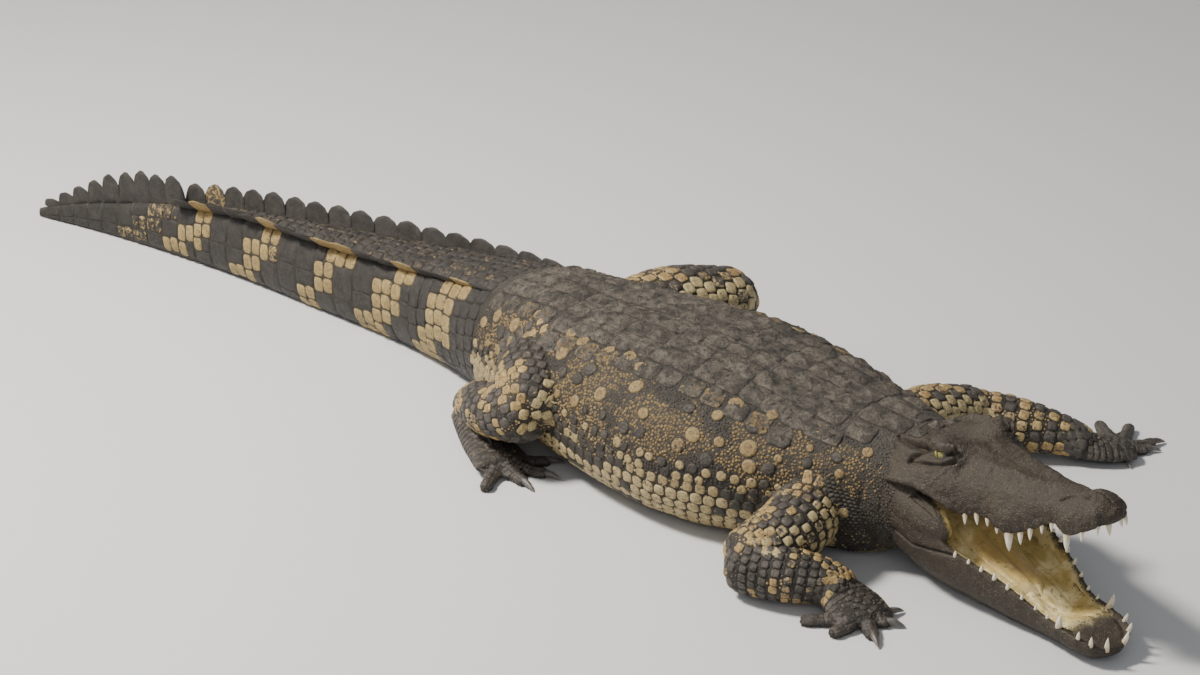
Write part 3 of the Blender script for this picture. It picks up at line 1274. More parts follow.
skin_finish, tree, shader = shader_material("skin")
place_in = own_place(tree)
speck = use_effect(tree, speckle_group, Vector=place_in, Scale=420.0, Low=0.47, High=0.62)
grain = use_effect(tree, granule_group, Vector=place_in, Scale=330.0)
tiny = use_effect(tree, granule_group, Vector=place_in, Scale=620.0)
fibre = use_effect(tree, fibre_group, Vector=place_in, Scale=42.0)
stained = times(tree, grain["Mask"], painted(tree, "gold"), speck["Mask"])
between = mix_color(tree, CHARCOAL, STAIN, stained)
worn = mix_color(tree, (0.018, 0.015, 0.012), (0.066, 0.056, 0.044), fibre["Mask"])
body_colour = mix_color(tree, between, worn, painted(tree, "grey"))
grainy = times(tree, tiny["Mask"], ranged(tree, speck["Mask"], 0.0, 1.0, 0.25, 1.0))
head_colour = mix_color(tree, HEAD_DARK, HEAD_LIGHT, grainy)
cloud = noise_mask(tree, place_in, 26.0, 3.0, 0.5)
head_colour = mix_color(tree, head_colour, HEAD_CLOUD, ranged(tree, cloud, 0.48, 0.68, 0.0, 0.75))
colour = mix_color(tree, body_colour, head_colour, painted(tree, "head"))
flesh = use_effect(tree, flesh_group, Vector=place_in)
colour = mix_color(tree, colour, flesh["Color"], painted(tree, "mouth"))
wet = ranged(tree, painted(tree, "mouth"), 0.0, 1.0, 0.66, 0.30)
height = maths(tree, "ADD", times(tree, grain["Height"], 0.5), times(tree, tiny["Height"], 0.5))
complete(tree, shader, colour, wet, height, 0.0007, 0.8)

# %% [markdown]
# ## The finish of the scales
#
# A scale is horn: worn and fibrous on the back, smoother and yellow on the flanks. Four finishes
# come from one function, because only their tones differ. Each scale also carries a chance of its
# own, so that no two neighbours are quite the same, and a rim, where dirt collects.

# %% The scales
def scale_finish(name, gold, dark, horn, roughness, dull=0.0, rough=0.0016):
    """Scales of one region. gold is ochre, yellow and cream, dark and horn are a deep and a light tone.
    The markings say how much of each shows."""
    material, tree, shader = shader_material(name)
    place_in = own_place(tree)
    chance, rim = painted(tree, "chance"), painted(tree, "rim")
    speck = use_effect(tree, speckle_group, Vector=place_in, Scale=340.0, Low=0.52, High=0.64)
    blotch = use_effect(tree, speckle_group, Vector=place_in, Scale=85.0, Low=0.40, High=0.60)
    fibre = use_effect(tree, fibre_group, Vector=place_in, Scale=62.0)
    # yellow scales: ochre in the middle, paler to the rim and to the belly, dirty in blotches
    pale = maths(tree, "ADD", rim, times(tree, chance, 0.5))
    bright = mix_color(tree, gold[0], gold[1], ranged(tree, pale, 0.35, 1.15))
    bright = mix_color(tree, bright, gold[2], painted(tree, "cream"))
    bright = mix_color(tree, bright, (0.17, 0.105, 0.045), ranged(tree, blotch["Mask"], 0.0, 1.0, 0.0, 0.38))
    bright = mix_color(tree, bright, (0.075, 0.048, 0.024), times(tree, speck["Mask"], 0.80))
    # dark scales, and the worn horn of the back
    plain = mix_color(tree, *dark, times(tree, fibre["Mask"], ranged(tree, chance, 0.0, 1.0, 0.5, 1.0)))
    worn = mix_color(tree, *horn, fibre["Mask"])
    worn = mix_color(tree, worn, horn[0], ranged(tree, chance, 0.45, 1.0, 0.0, 0.35))
    damp = noise_mask(tree, place_in, 17.0, 5.0, 1.0)
    worn = mix_color(tree, worn, dark[0], ranged(tree, damp, 0.52, 0.70, 0.0, 0.60))
    plain = mix_color(tree, plain, worn, painted(tree, "grey"))
    # the border between them breaks up into flecks, and dirt lies round every rim
    fleck = noise_mask(tree, place_in, 150.0, 4.0, 0.8)
    amount = maths(tree, "ADD", painted(tree, "gold"), times(tree, maths(tree, "SUBTRACT", fleck, 0.5), 1.3))
    amount = maths(tree, "SUBTRACT", amount, ranged(tree, chance, 0.0, 0.30, dull, 0.0))
    colour = mix_color(tree, plain, bright, ranged(tree, amount, 0.38, 0.56))
    colour = mix_color(tree, colour, (0.020, 0.016, 0.012), ranged(tree, rim, 0.86, 1.0, 0.0, 0.92))
    gloss = ranged(tree, fleck, 0.3, 0.7, roughness - 0.08, roughness + 0.14)
    height = maths(tree, "ADD", fibre["Height"], times(tree, speck["Mask"], -0.35))
    complete(tree, shader, colour, gloss, height, rough, 0.9)
    return material


BODY_GOLD = ((0.205, 0.123, 0.042), (0.270, 0.192, 0.076), (0.46, 0.365, 0.185))
TAIL_GOLD = ((0.30, 0.185, 0.056), (0.36, 0.250, 0.088), (0.38, 0.300, 0.130))
LEG_GOLD = ((0.34, 0.190, 0.058), (0.43, 0.300, 0.112), (0.56, 0.46, 0.235))
back_finish = scale_finish(
    "back_horn", BODY_GOLD, ((0.022, 0.018, 0.014), (0.085, 0.071, 0.055)),
    ((0.020, 0.017, 0.014), (0.172, 0.146, 0.115)), 0.62, rough=0.0032)
coat_finish = scale_finish(
    "scales", BODY_GOLD, ((0.018, 0.015, 0.011), (0.056, 0.046, 0.035)),
    ((0.026, 0.022, 0.017), (0.100, 0.084, 0.064)), 0.52, dull=0.7)
tail_finish = scale_finish(
    "tail_scales", TAIL_GOLD, ((0.010, 0.008, 0.006), (0.036, 0.030, 0.024)),
    ((0.016, 0.013, 0.011), (0.068, 0.058, 0.048)), 0.50)
leg_finish = scale_finish(
    "leg_scales", LEG_GOLD, ((0.024, 0.020, 0.016), (0.112, 0.094, 0.077)),
    ((0.034, 0.028, 0.023), (0.125, 0.106, 0.088)), 0.44)
print("four finishes for scales")

# %% Pebbles of the head
pebble_finish, tree, shader = shader_material("head_pebbles")
place_in = own_place(tree)
speck = use_effect(tree, speckle_group, Vector=place_in, Scale=420.0, Low=0.42, High=0.62)
grainy = times(tree, speck["Mask"], ranged(tree, painted(tree, "chance"), 0.2, 1.0, 0.25, 1.0))
colour = mix_color(tree, (0.023, 0.018, 0.012), (0.114, 0.086, 0.057), grainy)
flecks = noise_mask(tree, place_in, 95.0, 6.0, 1.2, 0.7)
colour = mix_color(tree, colour, (0.200, 0.138, 0.074), ranged(tree, flecks, 0.55, 0.68, 0.0, 0.70))
cloud = noise_mask(tree, place_in, 26.0, 3.0, 0.5)
colour = mix_color(tree, colour, HEAD_CLOUD, ranged(tree, cloud, 0.48, 0.68, 0.0, 0.60))
rim = ranged(tree, painted(tree, "rim"), 0.75, 1.0, 0.0, 0.8)
colour = mix_color(tree, colour, (0.022, 0.017, 0.012), rim)
dry = ranged(tree, speck["Mask"], 0.0, 1.0, 0.58, 0.72)
complete(tree, shader, colour, dry, speck["Mask"], 0.0003, 0.6)

# %% [markdown]
# ## The finishes of teeth, claws, tongue and eyes
#
# Teeth are ivory, stained towards the root. Claws are dark horn with paler tips. The tongue is the
# flesh of the mouth, a little pinker. The eye is painted round its line of sight, in rings and with
# a slit, under a clear coat. Each is a short tree of its own, since nothing else looks like it.

# %% Teeth, claws and tongue
tooth_finish, tree, shader = shader_material("tooth")
stain = noise_mask(tree, own_place(tree), 160.0, 4.0, 0.6)
along = maths(tree, "ADD", painted(tree, "along"), times(tree, stain, 0.4))
ivory = mix_color(tree, (0.46, 0.36, 0.21), (0.74, 0.68, 0.54), ranged(tree, along, 0.20, 0.85))
ivory = mix_color(tree, ivory, (0.33, 0.23, 0.12), ranged(tree, stain, 0.58, 0.78, 0.0, 0.6))
complete(tree, shader, ivory, ranged(tree, stain, 0.3, 0.7, 0.22, 0.42), stain, 0.0004, 0.5)

claw_finish, tree, shader = shader_material("claw")
streak = use_effect(tree, fibre_group, Vector=own_place(tree), Scale=90.0)
horn = mix_color(tree, (0.050, 0.043, 0.038), (0.170, 0.155, 0.140), streak["Mask"])
horn = mix_color(tree, horn, (0.26, 0.225, 0.18), ranged(tree, painted(tree, "along"), 0.80, 1.0, 0.0, 0.6))
polish = ranged(tree, streak["Mask"], 0.0, 1.0, 0.34, 0.52)
complete(tree, shader, horn, polish, streak["Height"], 0.0006, 0.6)

tongue_finish, tree, shader = shader_material("tongue")
place_in = own_place(tree)
flesh = use_effect(tree, flesh_group, Vector=place_in)
mottle = ranged(tree, noise_mask(tree, place_in, 34.0), 0.42, 0.62, 0.05, 0.55)
pink = mix_color(tree, flesh["Color"], (0.42, 0.27, 0.125), mottle)
wet = ranged(tree, flesh["Height"], 0.3, 0.7, 0.26, 0.42)
complete(tree, shader, pink, wet, flesh["Height"], 0.0010, 0.7)

# %% Eyes
eye_finish, tree, shader = shader_material("eye")
gaze = add(tree, "ShaderNodeAttribute", attribute_name="gaze").outputs["Vector"]
parts = add(tree, "ShaderNodeSeparateXYZ", {"Vector": gaze}).outputs
strands = noise_mask(tree, gaze, 9.0, 5.0, 1.2)
iris = mix_color(tree, (0.120, 0.108, 0.014), (0.33, 0.30, 0.045), ranged(tree, strands, 0.35, 0.65))
iris = mix_color(tree, (0.060, 0.050, 0.018), iris, ranged(tree, parts["Z"], 0.76, 0.84))
iris = mix_color(tree, (0.016, 0.012, 0.008), iris, ranged(tree, parts["Z"], 0.66, 0.76))
bent = times(tree, times(tree, parts["Y"], parts["Y"]), 0.30)
slit = maths(tree, "ADD", maths(tree, "ABSOLUTE", parts["X"]), bent)
iris = mix_color(tree, (0.004, 0.004, 0.003), iris, ranged(tree, slit, 0.085, 0.115))
plug(tree, shader.inputs["Base Color"], iris)
plug(tree, shader.inputs["Roughness"], ranged(tree, strands, 0.3, 0.7, 0.05, 0.12))
shader.inputs["Coat Weight"].default_value = 1.0
shader.inputs["Coat Roughness"].default_value = 0.03
print("finishes:", sorted(material.name for material in bpy.data.materials))

# %% [markdown]
# ## One tree that lays scales
#
# A crocodile has several thousand scales of a few kinds. They could be modelled straight onto the
# skin, but a Geometry Nodes tree does it with less work and can be tuned: it stands a copy of a
# small scale shape on each point of a layout, turned and sized by the point's own attributes,
# makes the copies real, and lowers every corner of them onto the skin along the scale's own axis,
# so a flat scale bends with the body under it. A little noise keeps two scales from being the same.
# The tree also writes each scale's small patch on the unwrap of the body, for baking its colours.

# %% Small helpers for geometry trees
def attribute(tree, name, kind="FLOAT"):
    """An attribute of the points, by its name."""
    return add(tree, "GeometryNodeInputNamedAttribute", {"Name": name}, data_type=kind).outputs["Attribute"]


def vector_math(tree, operation, first, second):
    """One operation on two vectors, or on a vector and a size."""
    sources = {0: first, "Scale" if operation == "SCALE" else 1: second}
    return add(tree, "ShaderNodeVectorMath", sources, operation=operation).outputs["Vector"]


def shape_of(tree, thing):
    """The geometry of an object that is given to the tree."""
    return add(tree, "GeometryNodeObjectInfo", {"Object": thing}).outputs["Geometry"]


def choose(tree, switch, no, yes):
    """One of two vectors."""
    choice = {"Switch": switch, "False": no, "True": yes}
    return add(tree, "GeometryNodeSwitch", choice, input_type="VECTOR").outputs["Output"]


def made_real(tree, points, shape, turn, size):
    """A real copy of the shape on every point."""
    stand = {"Points": points, "Instance": shape, "Rotation": turn, "Scale": size}
    copies = add(tree, "GeometryNodeInstanceOnPoints", stand).outputs["Instances"]
    return add(tree, "GeometryNodeRealizeInstances", {"Geometry": copies}).outputs["Geometry"]


JUST_ABOVE_FLOOR = (-100.0, -100.0, 0.0002)  # the least that x, y and z may be


def end_tree(tree, given, out, geometry, place):
    """The end of both trees: keeps points above the floor, marks the patch of the unwrap that each
    scale's colours are baked on, smooths, and gives the finish."""
    place = vector_math(tree, "MAXIMUM", place, JUST_ABOVE_FLOOR)
    moved = add(tree, "GeometryNodeSetPosition", {"Geometry": geometry, "Position": place})
    patch = vector_math(tree, "SCALE", attribute(tree, "patch", "FLOAT_VECTOR"), given["Patch"])
    spot = vector_math(tree, "ADD", attribute(tree, "home", "FLOAT_VECTOR"), patch)
    mark = {"Geometry": moved.outputs["Geometry"], "Name": "OFBake", "Value": spot}
    marked = add(tree, "GeometryNodeStoreNamedAttribute", mark, data_type="FLOAT2", domain="CORNER")
    smooth = add(tree, "GeometryNodeSetShadeSmooth", {"Geometry": marked.outputs["Geometry"]})
    last = {"Geometry": smooth.outputs["Geometry"], "Material": given["Finish"]}
    finished = add(tree, "GeometryNodeSetMaterial", last)
    plug(tree, out.inputs["Geometry"], finished.outputs["Geometry"])


# %% The tree
RAY_ABOVE = 0.014  # where the ray to the bed starts, over the flat scale
RAY_LENGTH = 0.036

lay_scales, given, out = node_group("lay_scales", "GeometryNodeTree", (
    ("Geometry", "Geometry", None), ("Scale Shape", "Object", None), ("Bed", "Object", None),
    ("Thickness", "Float", 1.0), ("Sink", "Float", 0.0006), ("Follow Bed", "Bool", True),
    ("Wear", "Float", 0.0003), ("Wear Grain", "Float", 160.0), ("Wobble", "Float", 0.0),
    ("Patch", "Float", 0.0015), ("Finish", "Material", None),
), (("Geometry", "Geometry"),))
tree = lay_scales
real = made_real(tree, given["Geometry"], shape_of(tree, given["Scale Shape"]),
                 attribute(tree, "turn", "FLOAT_VECTOR"), attribute(tree, "size", "FLOAT_VECTOR"))
# Lower every corner onto the bed, then lift it by the scale's own profile.
axis = attribute(tree, "axis", "FLOAT_VECTOR")
here = tree.nodes.new("GeometryNodeInputPosition").outputs["Position"]
cast = add(tree, "GeometryNodeRaycast", {
    "Target Geometry": shape_of(tree, given["Bed"]),
    "Source Position": vector_math(tree, "ADD", here, vector_math(tree, "SCALE", axis, RAY_ABOVE)),
    "Ray Direction": vector_math(tree, "SCALE", axis, -1.0),
    "Ray Length": RAY_LENGTH,
}).outputs
landed = choose(tree, cast["Is Hit"], here, cast["Hit Position"])
rise = times(tree, attribute(tree, "lift"), attribute(tree, "thick"), given["Thickness"])
rise = maths(tree, "SUBTRACT", rise, given["Sink"])
raised = vector_math(tree, "ADD", landed, vector_math(tree, "SCALE", axis, rise))
# Wear: noise pushes every corner in or out, and a little to the side.
grain = add(tree, "ShaderNodeTexNoise", {"Vector": here, "Scale": given["Wear Grain"], "Detail": 2.0}).outputs
uneven = maths(tree, "SUBTRACT", grain["Fac"], 0.5)
uneven = times(tree, uneven, given["Wear"], attribute(tree, "lift"))
worn = choose(tree, given["Follow Bed"], here, raised)
worn = vector_math(tree, "ADD", worn, vector_math(tree, "SCALE", axis, uneven))
shake = vector_math(tree, "SUBTRACT", grain["Color"], (0.5, 0.5, 0.5))
worn = vector_math(tree, "ADD", worn, vector_math(tree, "SCALE", shake, given["Wobble"]))
end_tree(tree, given, out, real, worn)
print("the tree has", len(lay_scales.nodes), "nodes")


# %% Running a tree
def give(piece, finish):
    """Leaves one finish on a piece."""
    piece.data.materials.clear()
    piece.data.materials.append(finish)


def forget(mesh, *names):
    """Removes attributes that nothing needs any more."""
    for name in names:
        if name in mesh.attributes:
            mesh.attributes.remove(mesh.attributes[name])


def set_inputs(modifier, **values):
    """Sets a modifier's inputs by the identifiers of their sockets."""
    named = {item.name.replace(" ", "_"): item.identifier
             for item in modifier.node_group.interface.items_tree if item.in_out == "INPUT"}
    for name, value in values.items():
        modifier[named[name]] = value


def run_tree(obj, tree, finish, **settings):
    """Runs a tree on an object, and leaves a plain mesh with one finish."""
    layer = obj.modifiers.new("scales", "NODES")
    layer.node_group = tree
    set_inputs(layer, Finish=finish, **settings)
    applied(obj)
    give(obj, finish)


# %% Small shapes that are repeated
def scale_shape(name, sides, radii, profile, squareness=2.0, slope=0.0, keel=0.0, spokes=0, spoke_height=0.0):
    """A scale as rings of points: x is towards the tail. lift is its height, rim is 1 at the edge."""
    verts, lifts, rims = [(0.0, 0.0, 0.0)], [profile[0] + keel], [0.0]
    for radius, height in zip(radii, profile[1:]):
        for k in range(sides):
            a = 2 * math.pi * k / sides
            x = radius * float(power(np.array(math.cos(a)), squareness))
            y = radius * float(power(np.array(math.sin(a)), squareness))
            h = height + slope * x * (1 if radius < 0.99 else 0.4)
            h += keel * math.exp(-(y / 0.26) ** 2) * (1 - radius ** 2)
            if spokes and 0.15 < radius < 0.95:
                h += spoke_height * math.cos(a * spokes + radius * 3.0) * math.sin(math.pi * radius)
            verts.append((x, y, 0.0))
            lifts.append(h)
            rims.append(radius)
    faces = [(0, 1 + k, 1 + (k + 1) % sides) for k in range(sides)]
    for ring in range(len(radii) - 1):
        a, b = 1 + ring * sides, 1 + (ring + 1) * sides
        for k in range(sides):
            j = (k + 1) % sides
            faces.append((a + k, b + k, b + j, a + j))
    obj = mesh_object(name, verts, faces)
    store(obj.data, "lift", lifts)
    store(obj.data, "rim", rims)
    store(obj.data, "patch", verts, "FLOAT_VECTOR")
    return obj


SHAPES = {
    "bead": scale_shape("bead", 7, (0.70, 1.0), (1.0, 0.72, -0.25)),
    "pebble": scale_shape("pebble", 6, (0.74, 1.0), (1.0, 0.92, -0.30), squareness=2.4),
    "lattice": scale_shape("lattice_scale", 8, (0.62, 1.0), (1.0, 0.85, -0.25), squareness=2.6),
    "round": scale_shape("round_scale", 14, (0.35, 0.72, 0.92, 1.0), (0.80, 0.92, 1.0, 0.62, -0.25)),
    "oval": scale_shape("oval_scale", 16, (0.45, 0.78, 0.93, 1.0), (0.92, 0.96, 0.92, 0.52, -0.25),
                        squareness=2.9, slope=0.10),
    "square": scale_shape("square_scale", 16, (0.45, 0.78, 0.93, 1.0), (1.0, 0.98, 0.86, 0.50, -0.25),
                          squareness=3.6, slope=0.10),
    "tail": scale_shape("tail_scale", 16, (0.40, 0.70, 0.88, 0.96, 1.0),
                        (0.86, 0.92, 1.0, 0.86, 0.5, -0.25), squareness=5.0),
    "back": scale_shape("back_plate", 28, (0.16, 0.34, 0.52, 0.70, 0.85, 0.95, 1.0),
                        (0.78, 0.77, 0.74, 0.70, 0.64, 0.56, 0.42, -0.10),
                        squareness=4.6, slope=0.16, keel=0.62, spokes=9, spoke_height=0.13),
}
print({name: len(shape.data.polygons) for name, shape in SHAPES.items()}, "faces in each shape")

# %% [markdown]
# ## Layout of the large scales
#
# The large scales stand in rows, and the rows can be written down: six rows of plates along the
# back, four large shields on the neck, rings round the tail, squarish scales in rows beside the
# belly and round ones set in the flank. A layout is only a list of places with a size, a direction
# and a colour for each. Each place is tried against the skin, and one that falls inside a leg, or
# hangs over nothing, is dropped.

# %% A layout of scales
bed_tree = BVHTree.FromObject(bed, bpy.context.evaluated_depsgraph_get())
dice = np.random.default_rng(7)


PROBE = 0.03  # how far over and under a point the skin is sought


def seat(point, axis, reach=0.010, facing=0.35):
    """The place on the skin under a point, or nothing where the skin is too far off or too steep."""
    hit, face_normal, _, _ = bed_tree.ray_cast(point + axis * PROBE, -axis, 2 * PROBE)
    if hit is None or (hit - point).length > reach or face_normal.dot(axis) < facing:
        return None
    return hit


def on_unwrap(homes):
    """Stretches rows of two numbers over the unwrap, with a small margin."""
    low, high = homes.min(axis=0), homes.max(axis=0)
    spread = 0.01 + 0.98 * (homes - low) / np.maximum(high - low, 1e-6)
    return np.column_stack([spread, np.zeros(len(spread))])


class Layout:
    """Places for scales: where, which way, how large, what colour, and where on the unwrap."""

    def __init__(self):
        self.rows = []

    def add(self, point, axis, rearward, size, thick, gold, cream, grey, home,
            reach=0.010, spin=0.0, facing=0.35):
        """Adds a scale, unless it would hang over nothing or stand on a slope."""
        point, axis, rearward = Vector(point), Vector(axis).normalized(), Vector(rearward)
        hit = seat(point, axis, reach, facing)
        if hit is None:
            return
        rearward = (rearward - axis * rearward.dot(axis)).normalized()
        across = axis.cross(rearward)
        if spin:
            rearward, across = (rearward * math.cos(spin) + across * math.sin(spin),
                                across * math.cos(spin) - rearward * math.sin(spin))
        turn = Matrix((rearward, across, axis)).transposed().to_euler()
        self.rows.append((tuple(hit), tuple(axis), tuple(turn), (*size, 0.5 * sum(size)),
                          thick, gold, cream, grey, dice.random(), home))

    def points(self, name):
        """A mesh of loose points that carries the layout as attributes."""
        columns = list(zip(*self.rows))
        obj = mesh_object(name, columns[0], [])
        for key, column in zip(("axis", "turn", "size"), columns[1:4]):
            store(obj.data, key, column, "FLOAT_VECTOR")
        for key, column in zip(("thick", "gold", "cream", "grey", "chance"), columns[4:9]):
            store(obj.data, key, column)
        store(obj.data, "home", on_unwrap(np.array(columns[9], np.float32)), "FLOAT_VECTOR")
        return obj


def body_frame(station, share, hand):
    """Point, outward axis and rearward direction on the body."""
    here = on_body(station, share, hand)
    rearward = on_body(station - 0.004, share, hand) - on_body(station + 0.004, share, hand)
    upward = on_body(station, max(share - 0.01, 0.0), hand) - on_body(station, min(share + 0.01, 1.0), hand)
    axis = np.cross(rearward, upward) * hand
    return Vector(here), Vector(axis).normalized(), Vector(rearward).normalized()


def lay(layout, name, shape, finish, **settings):
    """Runs the tree on a layout and returns one plain mesh object."""
    obj = layout.points(name)
    run_tree(obj, lay_scales, finish, Scale_Shape=SHAPES[shape], Bed=bed, **settings)
    forget(obj.data, "axis", "turn", "size", "thick", "home", "patch")
    print(name, len(layout.rows), "scales,", len(obj.data.polygons), "faces")
    return obj


def body_scale(layout, station, arc, hand, half_long, half_wide, thick, gold, cream=None, grey=1.0, **more):
    """One scale of the body, with the girth given in metres from the middle of the back."""
    share = min(arc / float(half_girth(station)), 0.995)
    point, axis, rearward = body_frame(station, share, hand)
    if cream is None:
        cream = float(cream_on_body(np.array(station), np.array(share)))
    layout.add(point, axis, rearward, (half_long, half_wide), thick, gold, cream, grey,
               (station, share * hand), **more)


pieces = []

# %% Plates of the back and shields of the neck
back = Layout()
PLATE = 0.0415
ROWS_OF_BACK = 17
for row in range(ROWS_OF_BACK):
    station = 0.560 - PLATE * row
    for hand in (1, -1):
        count = 4 if 0.03 < station < 0.52 else 3
        for column in range(count):
            arc = 0.0205 + 0.0400 * column
            edge = column == count - 1
            half = 0.0214 - 0.0040 * edge + dice.uniform(-0.0008, 0.0006)
            fleck = dice.uniform(0.26, 0.46) * (dice.random() < 0.60) if edge else 0.24 * dice.random()
            body_scale(back, station + dice.uniform(-0.002, 0.002) - 0.006 * edge, arc, hand, half * 1.10,
                       half, 0.0056 - 0.0014 * edge, gold=fleck, cream=0.0, spin=dice.uniform(-0.09, 0.09))
for station, arc, half_long, half_wide in (  # shields of the neck
    (0.612, 0.024, 0.027, 0.022), (0.650, 0.021, 0.021, 0.019), (0.618, 0.068, 0.023, 0.019),
    (0.690, 0.020, 0.011, 0.012), (0.694, 0.046, 0.010, 0.011), (0.585, 0.100, 0.016, 0.014),
):
    for hand in (1, -1):
        body_scale(back, station, arc, hand, half_long, half_wide, 0.0060, gold=0.12, cream=0.0)
pieces.append(lay(back, "back_plates", "back", back_finish, Wear=0.0046, Wear_Grain=210.0, Wobble=0.0052))

# %% [markdown]
# ## Rings of the tail
#
# The tail is ringed like a stack of hoops, and each hoop is cut into tall scales. They could be one
# grooved surface, but real scales split at the borders of the yellow bands, and two dark ones often
# grow into one. So each ring is laid scale by scale, in two layouts: dark scales with the tall
# shape, and those of the bands with the squarer one. Small plates fill the top between the crests.

# %% Rings of the tail
TWO_CRESTS_END = -1.0  # behind this station the two crests are one
DARK = 0.35  # a scale less yellow than this is a dark one

tail, tail_bands, tail_top = Layout(), Layout(), Layout()
rings = [-0.150]
while rings[-1] > TAIL_TIP + 0.045:
    rings.append(rings[-1] - (0.0620 + 0.0195 * rings[-1]))


def band_at(station, arc, girth):
    """How yellow the tail is, this far down its side."""
    return float(band(np.array(station), np.array(arc / girth)))


def ring_side(station, front, length, top_arc, girth, hand):
    """The tall scales of one side of a ring. Two dark ones that lie one over the other are joined."""
    rows = max(3, round((girth - top_arc) * 0.80 / 0.0300))
    tall = (girth - top_arc) * 0.80 / rows
    yellows = [band_at(station, top_arc + tall * (row + 0.5), girth) for row in range(rows)]
    row = 0
    while row < rows:
        dark = yellows[row] < DARK
        joined = dark and station < -0.30 and row + 1 < rows and yellows[row + 1] < DARK
        span = 2 if joined else 1
        arc = top_arc + tall * (row + 0.5 * span)
        parts = 2 if (not dark or station > -0.36) and length > 0.030 else 1
        gap = 0.0002 if dark else 0.0004
        for part in range(parts):
            at = front - length * (part + 0.5) / parts
            gold = band_at(at, arc, girth)
            gold = gold * dice.uniform(0.85, 1.0) if gold > 0.3 else gold * 0.4 + 0.10 * dice.random()
            body_scale(tail if dark else tail_bands, at + dice.uniform(-0.0006, 0.0006), arc, hand,
                       length / parts / 2 - gap, tall * span / 2 - gap, 0.0030 if parts == 2 else 0.0020,
                       gold=gold, grey=0.15 * (station > -0.95), cream=0.35 + 0.4 * row / rows)
        row += span


def ring_top(front, length, top_arc, hand):
    """The small plates between the two crests."""
    columns = max(1, round(top_arc / 0.021))
    for column in range(columns):
        for part in range(2):
            at = front - length * (part + 0.5) / 2
            body_scale(tail_top, at, top_arc * (column + 0.5) / columns, hand, length / 4 * 0.96,
                       top_arc / columns / 2 * 0.94, 0.0034, gold=0.34 * dice.random(), cream=0.0, grey=0.85,
                       spin=dice.uniform(-0.15, 0.15))


for front, rear in zip(rings, rings[1:]):
    station = (front + rear) / 2
    girth = float(half_girth(station))
    doubled = station > TWO_CRESTS_END
    top_arc = float(crest_share(station)) * girth if doubled else 0.004
    for hand in (1, -1):
        ring_side(station, front, front - rear, top_arc, girth, hand)
        if doubled and top_arc > 0.012:
            ring_top(front, front - rear, top_arc, hand)
pieces.append(lay(tail, "tail_rings", "tail", tail_finish, Wear=0.0014, Wear_Grain=260.0, Sink=0.0004,
                  Wobble=0.0026))
pieces.append(lay(tail_bands, "tail_band_scales", "square", tail_finish, Wear=0.0016, Wear_Grain=180.0,
                  Wobble=0.0034))
pieces.append(lay(tail_top, "tail_top_plates", "square", tail_finish, Wear=0.0036, Wear_Grain=240.0,
                  Wobble=0.0054))

# %% [markdown]
# ## Belly side, flanks and throat
#
# Beside the belly the scales are even squares in rows. The flank above has soft skin, in which
# large round scales stand apart, and the throat is a fine lattice. All three are rows with a
# little chance in them: a layout is quicker than setting each scale, and looser than an array.

# %% Rows beside the belly
belly = Layout()
for row in range(9):
    for number in range(40):
        share = 0.515 + 0.0335 * row
        half = 0.0098 - 0.0014 * (row == 0) + dice.uniform(-0.0006, 0.0003)
        station = 0.640 - 0.0200 * number - 0.007 * row
        if station < -0.15:
            continue
        for hand in (1, -1):
            patch = noise.noise(Vector((station * 9, share * 14, hand * 3.0)))
            dark = patch < -0.22 or dice.random() < 0.06
            body_scale(belly, station, share * float(half_girth(station)), hand, half * 1.02, half * 1.02,
                       0.0030, gold=0.22 if dark else dice.uniform(0.86, 1.0), grey=0.1,
                       spin=dice.uniform(-0.1, 0.1))
pieces.append(lay(belly, "belly_side_rows", "oval", coat_finish, Wear=0.0008, Wear_Grain=150.0,
                  Wobble=0.0022))

# %% Round scales in the flanks
FLANK_ROWS = (  # share of the girth, least and most half size, pitch
    (0.232, 0.0100, 0.0150, 0.043), (0.300, 0.0090, 0.0145, 0.050), (0.362, 0.0090, 0.0150, 0.046),
    (0.418, 0.0072, 0.0125, 0.036), (0.462, 0.0068, 0.0092, 0.0225), (0.492, 0.0072, 0.0088, 0.0205),
)

flank = Layout()
for row, (share, least, most, pitch) in enumerate(FLANK_ROWS):
    for number in range(int(0.80 / pitch)):
        for hand in (1, -1):
            station = 0.645 - pitch * (number + 0.5 * (row % 2)) - 0.01 * row
            station += dice.uniform(-0.22, 0.22) * pitch
            if station < -0.14 or dice.random() < 0.10:
                continue
            half = dice.uniform(least, most) * (1.0 if station < 0.52 else 0.75)
            dark = dice.random() < 0.30
            at = share + dice.uniform(-0.011, 0.011) * (1 if row < 4 else 0.3)
            body_scale(flank, station, at * float(half_girth(station)), hand, half,
                       half * dice.uniform(0.86, 1.0), 0.0034, gold=0.12 if dark else dice.uniform(0.8, 1.0),
                       cream=0.10 + 0.5 * (row > 3), grey=0.55 * dark, spin=dice.uniform(-0.5, 0.5))
pieces.append(lay(flank, "flank_scales", "round", coat_finish, Wear=0.0016, Wear_Grain=260.0, Wobble=0.0030))

# %% The lattice of the throat
THROAT_END = 0.595

throat = Layout()
for row in range(30):
    for number in range(14):
        station = 0.705 - 0.0082 * (number + 0.5 * (row % 2)) - 0.0010 * row
        share = 0.34 + 0.0155 * row
        if station > THROAT_END + 0.07 * float(soft_step(share, 0.30, 0.50)) or station < THROAT_END:
            continue
        for hand in (1, -1):
            body_scale(throat, station, share * float(half_girth(station)), hand,
                       dice.uniform(0.0036, 0.0043), dice.uniform(0.0023, 0.0029), 0.0020,
                       gold=0.10, cream=0.6, grey=0.9, reach=0.045, spin=dice.uniform(-0.2, 0.2))
pieces.append(lay(throat, "throat_scales", "lattice", coat_finish, Wear=0.0006, Wobble=0.0012))


